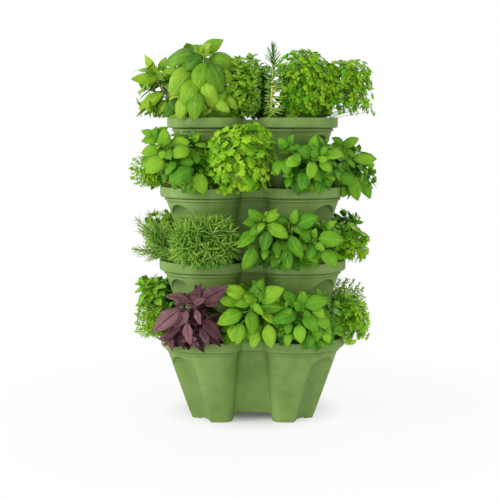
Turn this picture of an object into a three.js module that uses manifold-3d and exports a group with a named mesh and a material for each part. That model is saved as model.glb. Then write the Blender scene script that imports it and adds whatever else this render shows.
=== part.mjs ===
// A tower of four stacked pots with four lobes each, filled with potting mix and planted with herbs.
// Millimetres, +Z up. The origin lies on the ground, on the tower's upright axis.
// The tower faces -Y: in each pot a valley between two lobes looks that way.
import * as THREE from "three";
import { mergeVertices } from "three/addons/utils/BufferGeometryUtils.js";
import Module from "manifold-3d";

const wasm = await Module();
wasm.setup();

const quarter = Math.PI / 2;
const degree = Math.PI / 180;

// Gaps, and how far a cutting shape stands past what it cuts
const clearance = 0.3;
const soilGap = 0.5;
const leafGap = 1.2;
const overrun = 1;
const weld = 0.0001;

// Rim across two lobes and height from feet to rim of each pot
const bottomPot = { rimWidth: 305, height: 143 };
const secondPot = { rimWidth: 308, height: 143 };
const thirdPot = { rimWidth: 304, height: 136 };
const topPot = { rimWidth: 280, height: 127 };

// The moulding that all pots share
const wall = 3;
const rimWall = 4;
const bandHeight = 16.7;
const bandRound = 3.2;
const bandRoundInset = 4;
const bandLip = 10;
const collarHeight = 5.6;
const collarLip = 2.6;
const wallSlope = 19 * degree;
const valleySlope = 9.4 * degree;
const lobeSideSlope = 5.2 * degree;
const rimHalfGap = 12;
const valleyDepth = 52.5;
const valleyFillet = 7;
const rimFillet = 1;
const tabInset = 28.5;
const rimCornerShares = { inner: 0.355, outer: 0.57 };
const footCornerShares = { inner: 0.235, outer: 0.44 };

// The flute on each lobe's diagonal: a tapered groove under a round head
const fluteHead = { radius: 38, depth: 18, drop: 5, halfWidth: 30 };
const fluteFoot = { radius: 38, depth: 19 };
const footNotch = { width: 22, height: 2.4 };

// The arch below each valley, and the saddle in the pot below that carries it
const archHeight = 12;
const archSpring = 8;
const archInset = 2;
const saddle = { halfWidth: 17, drop: 3.5, thickness: 3, overlap: 4, gussetWidth: 4, gussetHeight: 8 };
const tabPocketHalfWidth = 10;
const footAboveSoil = 2;

// The floor's holes and the drain grid over the centre hole
const gridHoleRadius = 28;
const gridRadius = 34;
const gridThickness = 2.4;
const gridLocatorHeight = 2;
const gridLocatorWall = 2;
const gridSlot = { length: 15, width: 3, reach: 16 };
const gridSlots = 6;
const drainRadius = 5;
const drainReach = 92;

// Roots and stems
const rootTop = 9;
const rootFoot = 6;
const rootDepth = 28;
const stemRadius = 3;
const stemTopRadius = 2;

// Looks
const potColour = 0x7a9a52;
const gridColour = 0x6b8748;
const soilColour = 0x1c140d;
const plasticRoughness = 0.62;
const soilRoughness = 1;
const leafRoughness = 0.7;

// How finely curves are stepped
const filletSteps = 1;
const innerSteps = 2;
const outerSteps = 2;
const fluteSides = 12;
const archSteps = 4;
const discSides = 12;
const rootSides = 4;
const stemSides = 3;
const drainSides = 8;

// How deep the hollows between a crown's leaf tips reach
const leafyShare = 0.62;
const bushyShare = 0.84;
const spikyShare = 0.5;

// Each kind of plant: its leaves' colour, and the hollows of its crown
const kinds = {
  purple_basil: { colour: 0x5f3550, hollowShare: leafyShare },
  green_basil: { colour: 0x6fae2c, hollowShare: leafyShare },
  large_basil: { colour: 0x76b53a, hollowShare: leafyShare },
  mint: { colour: 0x63a52a, hollowShare: leafyShare },
  lemon_balm: { colour: 0x62a32b, hollowShare: leafyShare },
  oregano: { colour: 0x63a52a, hollowShare: leafyShare },
  sage: { colour: 0x5a9a30, hollowShare: leafyShare },
  bay: { colour: 0x66a63a, hollowShare: leafyShare },
  parsley: { colour: 0x4f8f22, hollowShare: bushyShare },
  thyme: { colour: 0x4d8a24, hollowShare: bushyShare },
  celery_leaf: { colour: 0x86b92f, hollowShare: bushyShare },
  tarragon: { colour: 0x5f9a35, hollowShare: spikyShare },
  rosemary: { colour: 0x47762c, hollowShare: spikyShare },
  rosemary_sprig: { colour: 0x47762c, hollowShare: spikyShare },
};

// Plants by tier. seatShare: where the root sits, and crownShare: where the crown's centre lies, both as
// shares of the pot's reach from axis to rim. rise: the crown's centre above the rim. Then its full size.
const plantings = [
  [
    {
      species: "purple_basil", place: "front_left", seatShare: [-0.48, -0.77],
      crownShare: [-0.67, -1.1], rise: 49, width: 112, depth: 76, height: 104,
    },
    {
      species: "green_basil", place: "front_centre", seatShare: [-0.34, -0.77],
      crownShare: [-0.03, -1.08], rise: 58, width: 92, depth: 84, height: 104,
    },
    {
      species: "mint", place: "front_right", seatShare: [0.46, -0.77],
      crownShare: [0.6, -1.1], rise: 46, width: 112, depth: 76, height: 92,
    },
    {
      species: "parsley", place: "right", seatShare: [0.77, -0.46],
      crownShare: [1.05, -0.52], rise: 32, width: 78, depth: 92, height: 88,
    },
    {
      species: "thyme", place: "left", seatShare: [-0.77, -0.54],
      crownShare: [-1.12, -0.5], rise: 24, width: 56, depth: 84, height: 62,
    },
    {
      species: "mint", place: "left", seatShare: [-0.77, -0.34],
      crownShare: [-1.12, -0.34], rise: 76, width: 58, depth: 70, height: 52,
    },
    {
      species: "parsley", place: "back_left", seatShare: [-0.48, 0.77],
      crownShare: [-0.62, 1.08], rise: 42, width: 116, depth: 84, height: 92,
    },
    {
      species: "mint", place: "left_back", seatShare: [-0.77, 0.44],
      crownShare: [-1.06, 0.46], rise: 38, width: 88, depth: 104, height: 90,
    },
    {
      species: "green_basil", place: "back_centre", seatShare: [0.35, 0.77],
      crownShare: [0.02, 1.08], rise: 54, width: 88, depth: 80, height: 98,
    },
    {
      species: "mint", place: "back_right", seatShare: [0.48, 0.77],
      crownShare: [0.64, 1.08], rise: 42, width: 114, depth: 84, height: 92,
    },
    {
      species: "thyme", place: "right_back", seatShare: [0.77, 0.44],
      crownShare: [1.06, 0.46], rise: 34, width: 86, depth: 104, height: 84,
    },
  ],
  [
    {
      species: "tarragon", place: "front_left", seatShare: [-0.48, -0.77],
      crownShare: [-0.5, -1.08], rise: 42, width: 122, depth: 80, height: 88,
    },
    {
      species: "green_basil", place: "front_centre", seatShare: [0.35, -0.77],
      crownShare: [0.2, -1.08], rise: 46, width: 88, depth: 80, height: 92,
    },
    {
      species: "mint", place: "front_right", seatShare: [0.53, -0.77],
      crownShare: [0.68, -1.06], rise: 44, width: 80, depth: 80, height: 84,
    },
    {
      species: "parsley", place: "right", seatShare: [0.77, -0.4],
      crownShare: [1.02, -0.46], rise: 30, width: 82, depth: 104, height: 72,
    },
    {
      species: "rosemary", place: "left", seatShare: [-0.77, -0.46],
      crownShare: [-1.08, -0.5], rise: 38, width: 72, depth: 96, height: 92,
    },
    {
      species: "mint", place: "back_left", seatShare: [-0.48, 0.77],
      crownShare: [-0.62, 1.06], rise: 42, width: 112, depth: 80, height: 88,
    },
    {
      species: "green_basil", place: "left_back", seatShare: [-0.77, 0.44],
      crownShare: [-1.04, 0.46], rise: 36, width: 82, depth: 104, height: 84,
    },
    {
      species: "tarragon", place: "back_centre", seatShare: [0.35, 0.77],
      crownShare: [0.04, 1.06], rise: 42, width: 88, depth: 78, height: 84,
    },
    {
      species: "parsley", place: "back_right", seatShare: [0.48, 0.77],
      crownShare: [0.66, 1.06], rise: 38, width: 112, depth: 80, height: 84,
    },
    {
      species: "mint", place: "right_back", seatShare: [0.77, 0.44],
      crownShare: [1.04, 0.5], rise: 34, width: 84, depth: 100, height: 82,
    },
  ],
  [
    {
      species: "lemon_balm", place: "front_left", seatShare: [-0.48, -0.77],
      crownShare: [-0.72, -1.04], rise: 48, width: 104, depth: 80, height: 100,
    },
    {
      species: "celery_leaf", place: "front_centre", seatShare: [-0.34, -0.77],
      crownShare: [-0.1, -1.1], rise: 52, width: 118, depth: 78, height: 116,
    },
    {
      species: "mint", place: "front_right", seatShare: [0.48, -0.77],
      crownShare: [0.62, -1.06], rise: 42, width: 104, depth: 80, height: 88,
    },
    {
      species: "sage", place: "right", seatShare: [0.77, -0.4],
      crownShare: [1.14, -0.46], rise: 32, width: 66, depth: 96, height: 98,
    },
    {
      species: "thyme", place: "left", seatShare: [-0.77, -0.4],
      crownShare: [-1.14, -0.42], rise: 24, width: 66, depth: 92, height: 56,
    },
    {
      species: "parsley", place: "back_left", seatShare: [-0.48, 0.77],
      crownShare: [-0.64, 1.06], rise: 40, width: 112, depth: 80, height: 86,
    },
    {
      species: "sage", place: "left_back", seatShare: [-0.77, 0.44],
      crownShare: [-1.06, 0.5], rise: 34, width: 84, depth: 96, height: 84,
    },
    {
      species: "lemon_balm", place: "back_centre", seatShare: [0.35, 0.77],
      crownShare: [0.02, 1.06], rise: 48, width: 86, depth: 80, height: 96,
    },
    {
      species: "thyme", place: "back_right", seatShare: [0.48, 0.77],
      crownShare: [0.64, 1.06], rise: 38, width: 110, depth: 80, height: 84,
    },
    {
      species: "mint", place: "right_back", seatShare: [0.77, 0.44],
      crownShare: [1.06, 0.5], rise: 34, width: 84, depth: 96, height: 84,
    },
  ],
  [
    {
      species: "large_basil", place: "front_left", seatShare: [-0.5, -0.5],
      crownShare: [-0.58, -0.66], rise: 64, width: 120, depth: 120, height: 122,
    },
    {
      species: "bay", place: "left", seatShare: [-0.74, -0.3],
      crownShare: [-1.14, -0.34], rise: 54, width: 70, depth: 88, height: 96,
    },
    {
      species: "oregano", place: "front_centre", seatShare: [-0.31, -0.68],
      crownShare: [-0.08, -0.72], rise: 56, width: 56, depth: 84, height: 106,
    },
    {
      species: "rosemary_sprig", place: "front", seatShare: [0.33, -0.72],
      crownShare: [0.25, -0.98], rise: 62, width: 36, depth: 34, height: 126,
    },
    {
      species: "parsley", place: "front_right", seatShare: [0.5, -0.5],
      crownShare: [0.62, -0.58], rise: 58, width: 100, depth: 124, height: 116,
    },
    {
      species: "parsley", place: "right", seatShare: [0.74, -0.34],
      crownShare: [1.14, -0.4], rise: 56, width: 86, depth: 112, height: 92,
    },
    {
      species: "green_basil", place: "back_left", seatShare: [-0.5, 0.5],
      crownShare: [-0.66, 0.7], rise: 56, width: 132, depth: 132, height: 110,
    },
    {
      species: "oregano", place: "back_centre", seatShare: [0.31, 0.68],
      crownShare: [0, 0.84], rise: 52, width: 82, depth: 96, height: 100,
    },
    {
      species: "mint", place: "back_right", seatShare: [0.5, 0.5],
      crownShare: [0.72, 0.7], rise: 54, width: 132, depth: 132, height: 106,
    },
  ],
];

// A closed geometry as a solid that can be joined and cut
function solid(geometry) {
  const bare = geometry.clone();
  bare.deleteAttribute("normal");
  bare.deleteAttribute("uv");
  const merged = mergeVertices(bare, weld);
  return new wasm.Manifold(
    new wasm.Mesh({
      numProp: 3,
      vertProperties: merged.attributes.position.array,
      triVerts: new Uint32Array(merged.index.array),
    }),
  );
}

// A solid's surface as a geometry
function surface(made) {
  const mesh = made.getMesh();
  const points = new Float32Array(mesh.numVert * 3);
  for (let i = 0; i < mesh.numVert; i += 1) {
    const start = i * mesh.numProp;
    points.set(mesh.vertProperties.subarray(start, start + 3), i * 3);
  }
  const geometry = new THREE.BufferGeometry();
  geometry.setAttribute("position", new THREE.BufferAttribute(points, 3));
  geometry.setIndex(new THREE.BufferAttribute(new Uint32Array(mesh.triVerts), 1));
  geometry.computeVertexNormals();
  return geometry;
}

// A solid skinned over rings of equally many points, lowest ring first, each anticlockwise from above
function skinned(rings) {
  const count = rings[0].length;
  const index = [];
  for (let level = 0; level + 1 < rings.length; level += 1) {
    for (let i = 0; i < count; i += 1) {
      const next = (i + 1) % count;
      const low = level * count;
      const high = low + count;
      index.push(low + i, low + next, high + next);
      index.push(low + i, high + next, high + i);
    }
  }
  const last = (rings.length - 1) * count;
  const flat = (ring) => ring.map((p) => new THREE.Vector2(p.x, p.y));
  for (const [a, b, c] of THREE.ShapeUtils.triangulateShape(flat(rings[0]), [])) {
    index.push(a, c, b);
  }
  for (const [a, b, c] of THREE.ShapeUtils.triangulateShape(flat(rings.at(-1)), [])) {
    index.push(last + a, last + b, last + c);
  }
  const geometry = new THREE.BufferGeometry().setFromPoints(rings.flat());
  geometry.setIndex(index);
  return solid(geometry);
}

// One level of a pot's outline. gap: half the space between neighbouring lobes; reach: axis to lobe front;
// valley: axis to the wall between two lobes; inner, outer: the lobe's corner radii beside the valley and on
// the diagonal; fillet: the corner where the lobe meets the valley.
function outline({ gap, reach, valley, inner, outer, fillet }, z) {
  const eighth = [];
  const innerY = reach - inner;
  const start = valley + fillet;
  const turn = Math.asin(Math.max(0, start - innerY) / inner);
  const side = gap + inner * (1 - Math.cos(turn));
  for (let k = 0; k <= filletSteps; k += 1) {
    const angle = (quarter * k) / filletSteps;
    eighth.push(new THREE.Vector2(side - fillet * (1 - Math.sin(angle)), start - fillet * Math.cos(angle)));
  }
  for (let k = 1; k <= innerSteps; k += 1) {
    const angle = turn + ((quarter - turn) * k) / innerSteps;
    eighth.push(new THREE.Vector2(gap + inner * (1 - Math.cos(angle)), innerY + inner * Math.sin(angle)));
  }
  const centre = reach - outer;
  for (let k = 0; k <= outerSteps; k += 1) {
    const angle = quarter - (quarter / 2) * (k / outerSteps);
    eighth.push(new THREE.Vector2(centre + outer * Math.cos(angle), centre + outer * Math.sin(angle)));
  }
  const mirrored = eighth.slice(0, -1).reverse().map((p) => new THREE.Vector2(p.y, p.x));
  const lobe = [...eighth, ...mirrored];
  const ring = [];
  for (let turns = 0; turns < 4; turns += 1) {
    for (const p of lobe) {
      const turned = p.clone().rotateAround(new THREE.Vector2(), -turns * quarter);
      ring.push(new THREE.Vector3(turned.x, turned.y, z));
    }
  }
  return ring.reverse();
}

// An outline drawn in by a distance all round
function drawnIn(shape, distance) {
  return {
    gap: shape.gap + distance,
    reach: shape.reach - distance,
    valley: shape.valley - distance,
    inner: shape.inner - distance,
    outer: shape.outer - distance,
    fillet: shape.fillet + distance,
  };
}

// An outline part of the way from one to another
function between(low, high, share) {
  const shape = {};
  for (const key of Object.keys(low)) {
    shape[key] = low[key] + (high[key] - low[key]) * share;
  }
  return shape;
}

// How far the lobe reaches on its diagonal
function diagonalReach({ reach, outer }) {
  return Math.SQRT2 * (reach - outer) + outer;
}

// The heights and outlines that a pot is built on, its feet at zero
function potPlan({ rimWidth, height }) {
  const reach = rimWidth / 2;
  const lobe = reach - rimHalfGap;
  const rim = {
    gap: rimHalfGap,
    reach,
    valley: reach - tabInset,
    inner: lobe * rimCornerShares.inner,
    outer: lobe * rimCornerShares.outer,
    fillet: rimFillet,
  };
  const wallTop = height - bandHeight - collarHeight;
  const top = { ...drawnIn(rim, bandLip), valley: reach - valleyDepth, fillet: valleyFillet };
  const footReach = top.reach - wallTop * Math.tan(wallSlope);
  const footGap = top.gap + wallTop * Math.tan(lobeSideSlope);
  const foot = {
    gap: footGap,
    reach: footReach,
    valley: top.valley - wallTop * Math.tan(valleySlope),
    inner: (footReach - footGap) * footCornerShares.inner,
    outer: (footReach - footGap) * footCornerShares.outer,
    fillet: valleyFillet,
  };
  const soilTop = height - saddle.drop - archHeight - footAboveSoil;
  return { reach, height, rim, wallTop, top, foot, soilTop, floorTop: archHeight + wall };
}

// The wall's outline at a height, carried on past its ends along the same slope
function wallAt(plan, z, distance) {
  return drawnIn(between(plan.foot, plan.top, z / plan.wallTop), distance);
}

// The outside of a pot without its flutes, grown by a distance
function outside(plan, grow) {
  const bandFoot = plan.height - bandHeight;
  const body = skinned([
    outline(wallAt(plan, 0, -grow), -grow),
    outline(wallAt(plan, bandFoot, -grow), bandFoot + overrun),
  ]);
  const collar = skinned([
    outline(drawnIn(plan.top, -collarLip - grow), plan.wallTop - grow),
    outline(drawnIn(plan.top, -collarLip - grow), bandFoot + overrun),
  ]);
  const band = skinned([
    outline(drawnIn(plan.rim, bandRoundInset - grow), bandFoot - grow),
    outline(drawnIn(plan.rim, -grow), bandFoot + bandRound),
    outline(drawnIn(plan.rim, -grow), plan.height + grow),
  ]);
  return body.add(collar).add(band);
}

// The room inside a pot without its flutes, from a height up, drawn in by a distance
function inside(plan, from, distance) {
  const ledge = plan.height - bandHeight + wall;
  const top = ledge + distance + overrun;
  const lower = skinned([
    outline(wallAt(plan, from, wall + distance), from),
    outline(wallAt(plan, top, wall + distance), top),
  ]);
  const mouth = { ...drawnIn(plan.rim, rimWall + distance), valley: plan.top.valley - wall - distance };
  mouth.fillet = valleyFillet;
  const upper = skinned([
    outline(mouth, ledge + distance),
    outline(mouth, plan.height + distance + overrun),
  ]);
  return lower.add(upper);
}

// The four groove shapes that cut or bulge the lobes' corners, grown by a distance
function flutes(plan, grow) {
  const top = plan.wallTop;
  const circle = (radius, centre, z) => {
    const ring = [];
    for (let i = 0; i < fluteSides; i += 1) {
      const angle = (2 * Math.PI * i) / fluteSides;
      ring.push(new THREE.Vector3(radius * Math.cos(angle), radius * Math.sin(angle) - centre, z));
    }
    return ring;
  };
  const groove = ({ radius, depth }, shape, z) =>
    circle(radius + grow, diagonalReach(shape) + radius - depth, z);
  const cone = [groove(fluteFoot, plan.foot, -overrun), groove(fluteHead, plan.top, top)];
  const half = fluteHead.halfWidth + grow;
  const spring = top - fluteHead.drop - fluteHead.halfWidth;
  const arch = new THREE.Shape();
  arch.moveTo(-half, -2 * overrun);
  arch.lineTo(half, -2 * overrun);
  arch.lineTo(half, spring);
  arch.absarc(0, spring, half, 0, Math.PI, false);
  const prism = new THREE.ExtrudeGeometry(arch, {
    depth: 2 * plan.reach,
    bevelEnabled: false,
    curveSegments: archSteps,
  });
  prism.rotateX(quarter);
  const tool = skinned(cone).intersect(solid(prism));
  return fourfold(surface(tool), quarter / 2);
}

// Four copies of a geometry around the axis, the first turned by an angle
function fourfold(geometry, first = 0) {
  let all = null;
  for (let turns = 0; turns < 4; turns += 1) {
    const copy = solid(geometry.clone().rotateZ(first + turns * quarter));
    all = all ? all.add(copy) : copy;
  }
  return all;
}

// A box between two corners
function block(low, high) {
  const size = high.map((value, axis) => value - low[axis]);
  const middle = high.map((value, axis) => (value + low[axis]) / 2);
  return new THREE.BoxGeometry(...size).translate(...middle);
}

// An upright cylinder or cone between two heights
function pillar(lowRadius, highRadius, low, high, sides) {
  const geometry = new THREE.CylinderGeometry(highRadius, lowRadius, high - low, sides);
  return geometry.rotateX(quarter).translate(0, 0, (low + high) / 2);
}

// The arches below the valleys, flat over the saddle's width and rounded down to their springs
function arches(plan) {
  const half = plan.foot.gap - archInset;
  const flat = saddle.halfWidth + overrun;
  const arch = new THREE.Shape();
  arch.moveTo(-half, -overrun);
  arch.lineTo(half, -overrun);
  arch.lineTo(half, archSpring);
  arch.absellipse(flat, archSpring, half - flat, archHeight - archSpring, 0, quarter, false, 0);
  arch.absellipse(-flat, archSpring, half - flat, archHeight - archSpring, quarter, Math.PI, false, 0);
  const prism = new THREE.ExtrudeGeometry(arch, {
    depth: plan.reach,
    bevelEnabled: false,
    curveSegments: archSteps / 2,
  });
  prism.rotateX(quarter);
  return fourfold(prism);
}

// The saddles that carry the next pot: a deck behind each tab with a gusset under it
function saddles(plan, carried) {
  const deckTop = plan.height - saddle.drop;
  const deckFoot = deckTop - saddle.thickness;
  const inner = carried.foot.valley - wall - saddle.overlap;
  const outer = plan.top.valley - wall / 2;
  const half = saddle.halfWidth;
  const deck = fourfold(block([-half, -outer, deckFoot], [half, -inner, deckTop]));
  const gusset = new THREE.Shape();
  gusset.moveTo(outer, deckFoot + wall / 2);
  gusset.lineTo(inner + wall, deckFoot + wall / 2);
  gusset.lineTo(inner + wall, deckFoot - wall / 2);
  gusset.lineTo(outer, deckFoot - saddle.gussetHeight);
  const rib = new THREE.ExtrudeGeometry(gusset, { depth: saddle.gussetWidth, bevelEnabled: false });
  rib.rotateX(quarter).rotateZ(-quarter).translate(saddle.gussetWidth / 2, 0, 0);
  return deck.add(fourfold(rib));
}

// One moulded pot, its feet at zero
function pot(plan, carried) {
  const deckTop = plan.height - saddle.drop;
  const bandFoot = plan.height - bandHeight;
  const room = inside(plan, plan.floorTop, 0).subtract(flutes(plan, wall));
  const skirt = skinned([
    outline(wallAt(plan, 0, wall), -overrun),
    outline(wallAt(plan, archHeight, wall), archHeight),
  ]).subtract(flutes(plan, wall));
  const tabNotch = block(
    [-rimHalfGap, -plan.reach, deckTop],
    [rimHalfGap, -plan.top.valley + wall + overrun, plan.height + overrun],
  );
  const tabPocket = block(
    [-tabPocketHalfWidth, -plan.rim.valley + wall, bandFoot - overrun],
    [tabPocketHalfWidth, -plan.top.valley, deckTop - saddle.thickness],
  );
  const notch = block(
    [-footNotch.width / 2, -diagonalReach(plan.foot) - overrun, -overrun],
    [footNotch.width / 2, plan.foot.outer - diagonalReach(plan.foot), footNotch.height],
  );
  const drain = pillar(drainRadius, drainRadius, archHeight - overrun, plan.floorTop + overrun, drainSides);
  const gridHole = pillar(
    gridHoleRadius,
    gridHoleRadius,
    archHeight - overrun,
    plan.floorTop + overrun,
    discSides,
  );
  return outside(plan, 0)
    .subtract(flutes(plan, 0))
    .subtract(room)
    .subtract(skirt)
    .subtract(arches(plan))
    .subtract(fourfold(tabNotch))
    .subtract(fourfold(tabPocket))
    .subtract(fourfold(notch, quarter / 2))
    .subtract(fourfold(drain.translate(0, -drainReach, 0), quarter / 2))
    .subtract(solid(gridHole))
    .add(saddles(plan, carried));
}

// The drain grid: a slotted disc with a locating ring that drops into the floor's centre hole
function drainGrid(plan) {
  const low = plan.floorTop + clearance;
  const ring = gridHoleRadius - clearance;
  const profile = [
    [0, low],
    [ring - gridLocatorWall, low],
    [ring - gridLocatorWall, low - gridLocatorHeight],
    [ring, low - gridLocatorHeight],
    [ring, low],
    [gridRadius, low],
    [gridRadius, low + gridThickness],
    [0, low + gridThickness],
  ];
  const points = profile.map(([x, y]) => new THREE.Vector2(x, y));
  const disc = solid(new THREE.LatheGeometry(points, discSides).rotateX(quarter));
  let slots = null;
  for (let i = 0; i < gridSlots; i += 1) {
    const slot = block(
      [gridSlot.reach - gridSlot.length / 2, -gridSlot.width / 2, low - overrun],
      [gridSlot.reach + gridSlot.length / 2, gridSlot.width / 2, low + gridThickness + overrun],
    ).rotateZ((2 * Math.PI * i) / gridSlots);
    slots = slots ? slots.add(solid(slot)) : solid(slot);
  }
  return disc.subtract(slots);
}

// Where a root sits, and its plug of roots, grown by a distance
function rootPlug(plan, plant, grow) {
  const [x, y] = plant.seatShare.map((share) => share * plan.reach);
  const low = plan.soilTop - rootDepth;
  const high = plan.soilTop + 2 * clearance;
  const plug = pillar(rootFoot + grow, rootTop + grow, low - grow, high + grow, rootSides);
  return plug.translate(x, y, 0);
}

// The potting mix: it fills the pot up to just below the next pot's feet
function soil(plan, plants) {
  const low = plan.floorTop + clearance;
  const fill = inside(plan, low, soilGap).subtract(flutes(plan, wall + soilGap));
  const cover = block([-plan.reach, -plan.reach, plan.soilTop], [plan.reach, plan.reach, 2 * plan.height]);
  const recess = pillar(
    gridRadius + soilGap,
    gridRadius + soilGap,
    low - overrun,
    low + gridThickness + clearance,
    discSides,
  );
  let fitted = fill.subtract(solid(cover)).subtract(solid(recess));
  for (const plant of plants) {
    fitted = fitted.subtract(solid(rootPlug(plan, plant, clearance)));
  }
  return fitted;
}

// Where a plant's crown is centred, above its pot's feet
function crownCentre(plan, { crownShare, rise }) {
  return new THREE.Vector3(crownShare[0] * plan.reach, crownShare[1] * plan.reach, plan.height + rise);
}

// A crown of leaves: a ball whose corners stand out as leaf tips with hollows between, grown by a distance
function crown(plan, plant, grow) {
  const corners = new THREE.IcosahedronGeometry(1, 0);
  corners.computeBoundingBox();
  const unit = corners.boundingBox.max;
  const tips = corners.attributes.position;
  const geometry = new THREE.IcosahedronGeometry(1, 1);
  const place = geometry.attributes.position;
  const point = new THREE.Vector3();
  const tip = new THREE.Vector3();
  for (let i = 0; i < place.count; i += 1) {
    point.fromBufferAttribute(place, i);
    let standsOut = false;
    for (let k = 0; k < tips.count; k += 1) {
      tip.fromBufferAttribute(tips, k);
      standsOut = standsOut || tip.distanceTo(point) < weld;
    }
    point.divide(unit).multiplyScalar(standsOut ? 1 : kinds[plant.species].hollowShare);
    place.setXYZ(i, point.x, point.y, point.z);
  }
  geometry.scale(plant.width / 2 + grow, plant.depth / 2 + grow, plant.height / 2 + grow);
  const centre = crownCentre(plan, plant);
  return solid(geometry.translate(centre.x, centre.y, centre.z));
}

// A stem from a root's top to the crown's centre, grown by a distance
function stem(plan, plant, grow) {
  const [x, y] = plant.seatShare.map((share) => share * plan.reach);
  const start = new THREE.Vector3(x, y, plan.soilTop - stemRadius);
  const line = crownCentre(plan, plant).sub(start);
  const length = line.length();
  const turn = new THREE.Quaternion().setFromUnitVectors(new THREE.Vector3(0, 1, 0), line.normalize());
  const geometry = new THREE.CylinderGeometry(stemTopRadius + grow, stemRadius + grow, length, stemSides);
  geometry.translate(0, length / 2, 0).applyQuaternion(turn);
  return solid(geometry.translate(start.x, start.y, start.z));
}

// A plant above the soil, grown by a distance
function greenery(plan, plant, grow) {
  return crown(plan, plant, grow).add(stem(plan, plant, grow));
}

// The largest single body of a solid
function largest(made) {
  return made.decompose().sort((a, b) => b.volume() - a.volume())[0];
}

// A named mesh with its own material
function mesh(name, made, colour, roughness) {
  const material = new THREE.MeshStandardMaterial({ color: colour, roughness, metalness: 0 });
  const node = new THREE.Mesh(surface(made), material);
  node.name = name;
  return node;
}

const plans = [bottomPot, secondPot, thirdPot, topPot].map(potPlan);
const seatDrop = saddle.drop + archHeight - clearance;
const tower = new THREE.Group();
let taken = null;
let potFoot = 0;

plans.forEach((plan, level) => {
  const tier = level + 1;
  const plants = plantings[level];
  const above = plans[tier];
  const parts = new THREE.Group();
  parts.position.z = potFoot;
  parts.add(mesh("pot_" + tier, pot(plan, above ?? plan), potColour, plasticRoughness));
  parts.add(mesh("drain_grid_" + tier, drainGrid(plan), gridColour, plasticRoughness));
  parts.add(mesh("potting_mix_" + tier, soil(plan, plants), soilColour, soilRoughness));

  // Leaves keep clear of their own pot, of the pot above and of the leaves made before them.
  let guard = outside(plan, leafGap).subtract(inside(plan, plan.floorTop, leafGap));
  if (above) {
    guard = guard.add(outside(above, leafGap).translate([0, 0, plan.height - seatDrop]));
  }
  const soilGuard = block(
    [-plan.reach, -plan.reach, -overrun],
    [plan.reach, plan.reach, plan.soilTop + clearance],
  );
  guard = guard.add(solid(soilGuard));
  for (const plant of plants) {
    let leaves = greenery(plan, plant, 0).subtract(guard);
    if (taken) {
      leaves = leaves.subtract(taken.translate([0, 0, -potFoot]));
    }
    const whole = largest(leaves.add(solid(rootPlug(plan, plant, 0))));
    const name = ["tier", tier, plant.species, plant.place].join("_");
    parts.add(mesh(name, whole, kinds[plant.species].colour, leafRoughness));
    const held = greenery(plan, plant, leafGap).translate([0, 0, potFoot]);
    taken = taken ? taken.add(held) : held;
  }
  tower.add(parts);
  potFoot += plan.height - seatDrop;
});

export default tower;
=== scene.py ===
import math
import random

import bmesh
import bpy
import numpy as np
from mathutils import Matrix, Vector
from mathutils.bvhtree import BVHTree


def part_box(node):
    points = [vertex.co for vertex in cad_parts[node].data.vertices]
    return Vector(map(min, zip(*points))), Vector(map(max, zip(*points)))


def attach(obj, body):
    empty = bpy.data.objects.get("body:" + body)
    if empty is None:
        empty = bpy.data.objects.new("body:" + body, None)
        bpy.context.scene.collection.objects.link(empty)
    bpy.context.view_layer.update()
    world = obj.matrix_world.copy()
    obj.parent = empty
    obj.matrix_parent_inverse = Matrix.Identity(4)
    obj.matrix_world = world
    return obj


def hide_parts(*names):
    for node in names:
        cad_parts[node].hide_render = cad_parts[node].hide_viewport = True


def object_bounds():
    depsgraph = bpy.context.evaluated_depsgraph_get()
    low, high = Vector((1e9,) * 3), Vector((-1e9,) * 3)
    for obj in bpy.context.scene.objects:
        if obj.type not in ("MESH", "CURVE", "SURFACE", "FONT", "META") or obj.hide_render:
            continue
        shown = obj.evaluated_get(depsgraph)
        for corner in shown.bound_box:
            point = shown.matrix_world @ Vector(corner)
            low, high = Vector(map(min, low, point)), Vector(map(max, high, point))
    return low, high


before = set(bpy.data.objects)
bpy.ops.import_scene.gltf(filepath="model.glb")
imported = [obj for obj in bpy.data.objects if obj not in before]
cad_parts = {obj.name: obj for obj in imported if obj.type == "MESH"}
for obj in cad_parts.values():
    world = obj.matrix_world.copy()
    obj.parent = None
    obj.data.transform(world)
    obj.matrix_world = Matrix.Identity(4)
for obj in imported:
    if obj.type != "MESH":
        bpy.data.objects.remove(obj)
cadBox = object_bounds()
print("frame loaded")

mm = 0.001
quarter = math.pi / 2


# Everything off, and back to object mode
def deselect():
    if bpy.context.object and bpy.context.object.mode != "OBJECT":
        bpy.ops.object.mode_set(mode="OBJECT")
    bpy.ops.object.select_all(action="DESELECT")


def only(thing):
    deselect()
    thing.select_set(True)
    bpy.context.view_layer.objects.active = thing


def applied(thing):
    only(thing)
    for modifier in list(thing.modifiers):
        bpy.ops.object.modifier_apply(modifier=modifier.name)
    return thing


def drop(thing):
    mesh = thing.data
    bpy.data.objects.remove(thing)
    bpy.data.meshes.remove(mesh)


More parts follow.
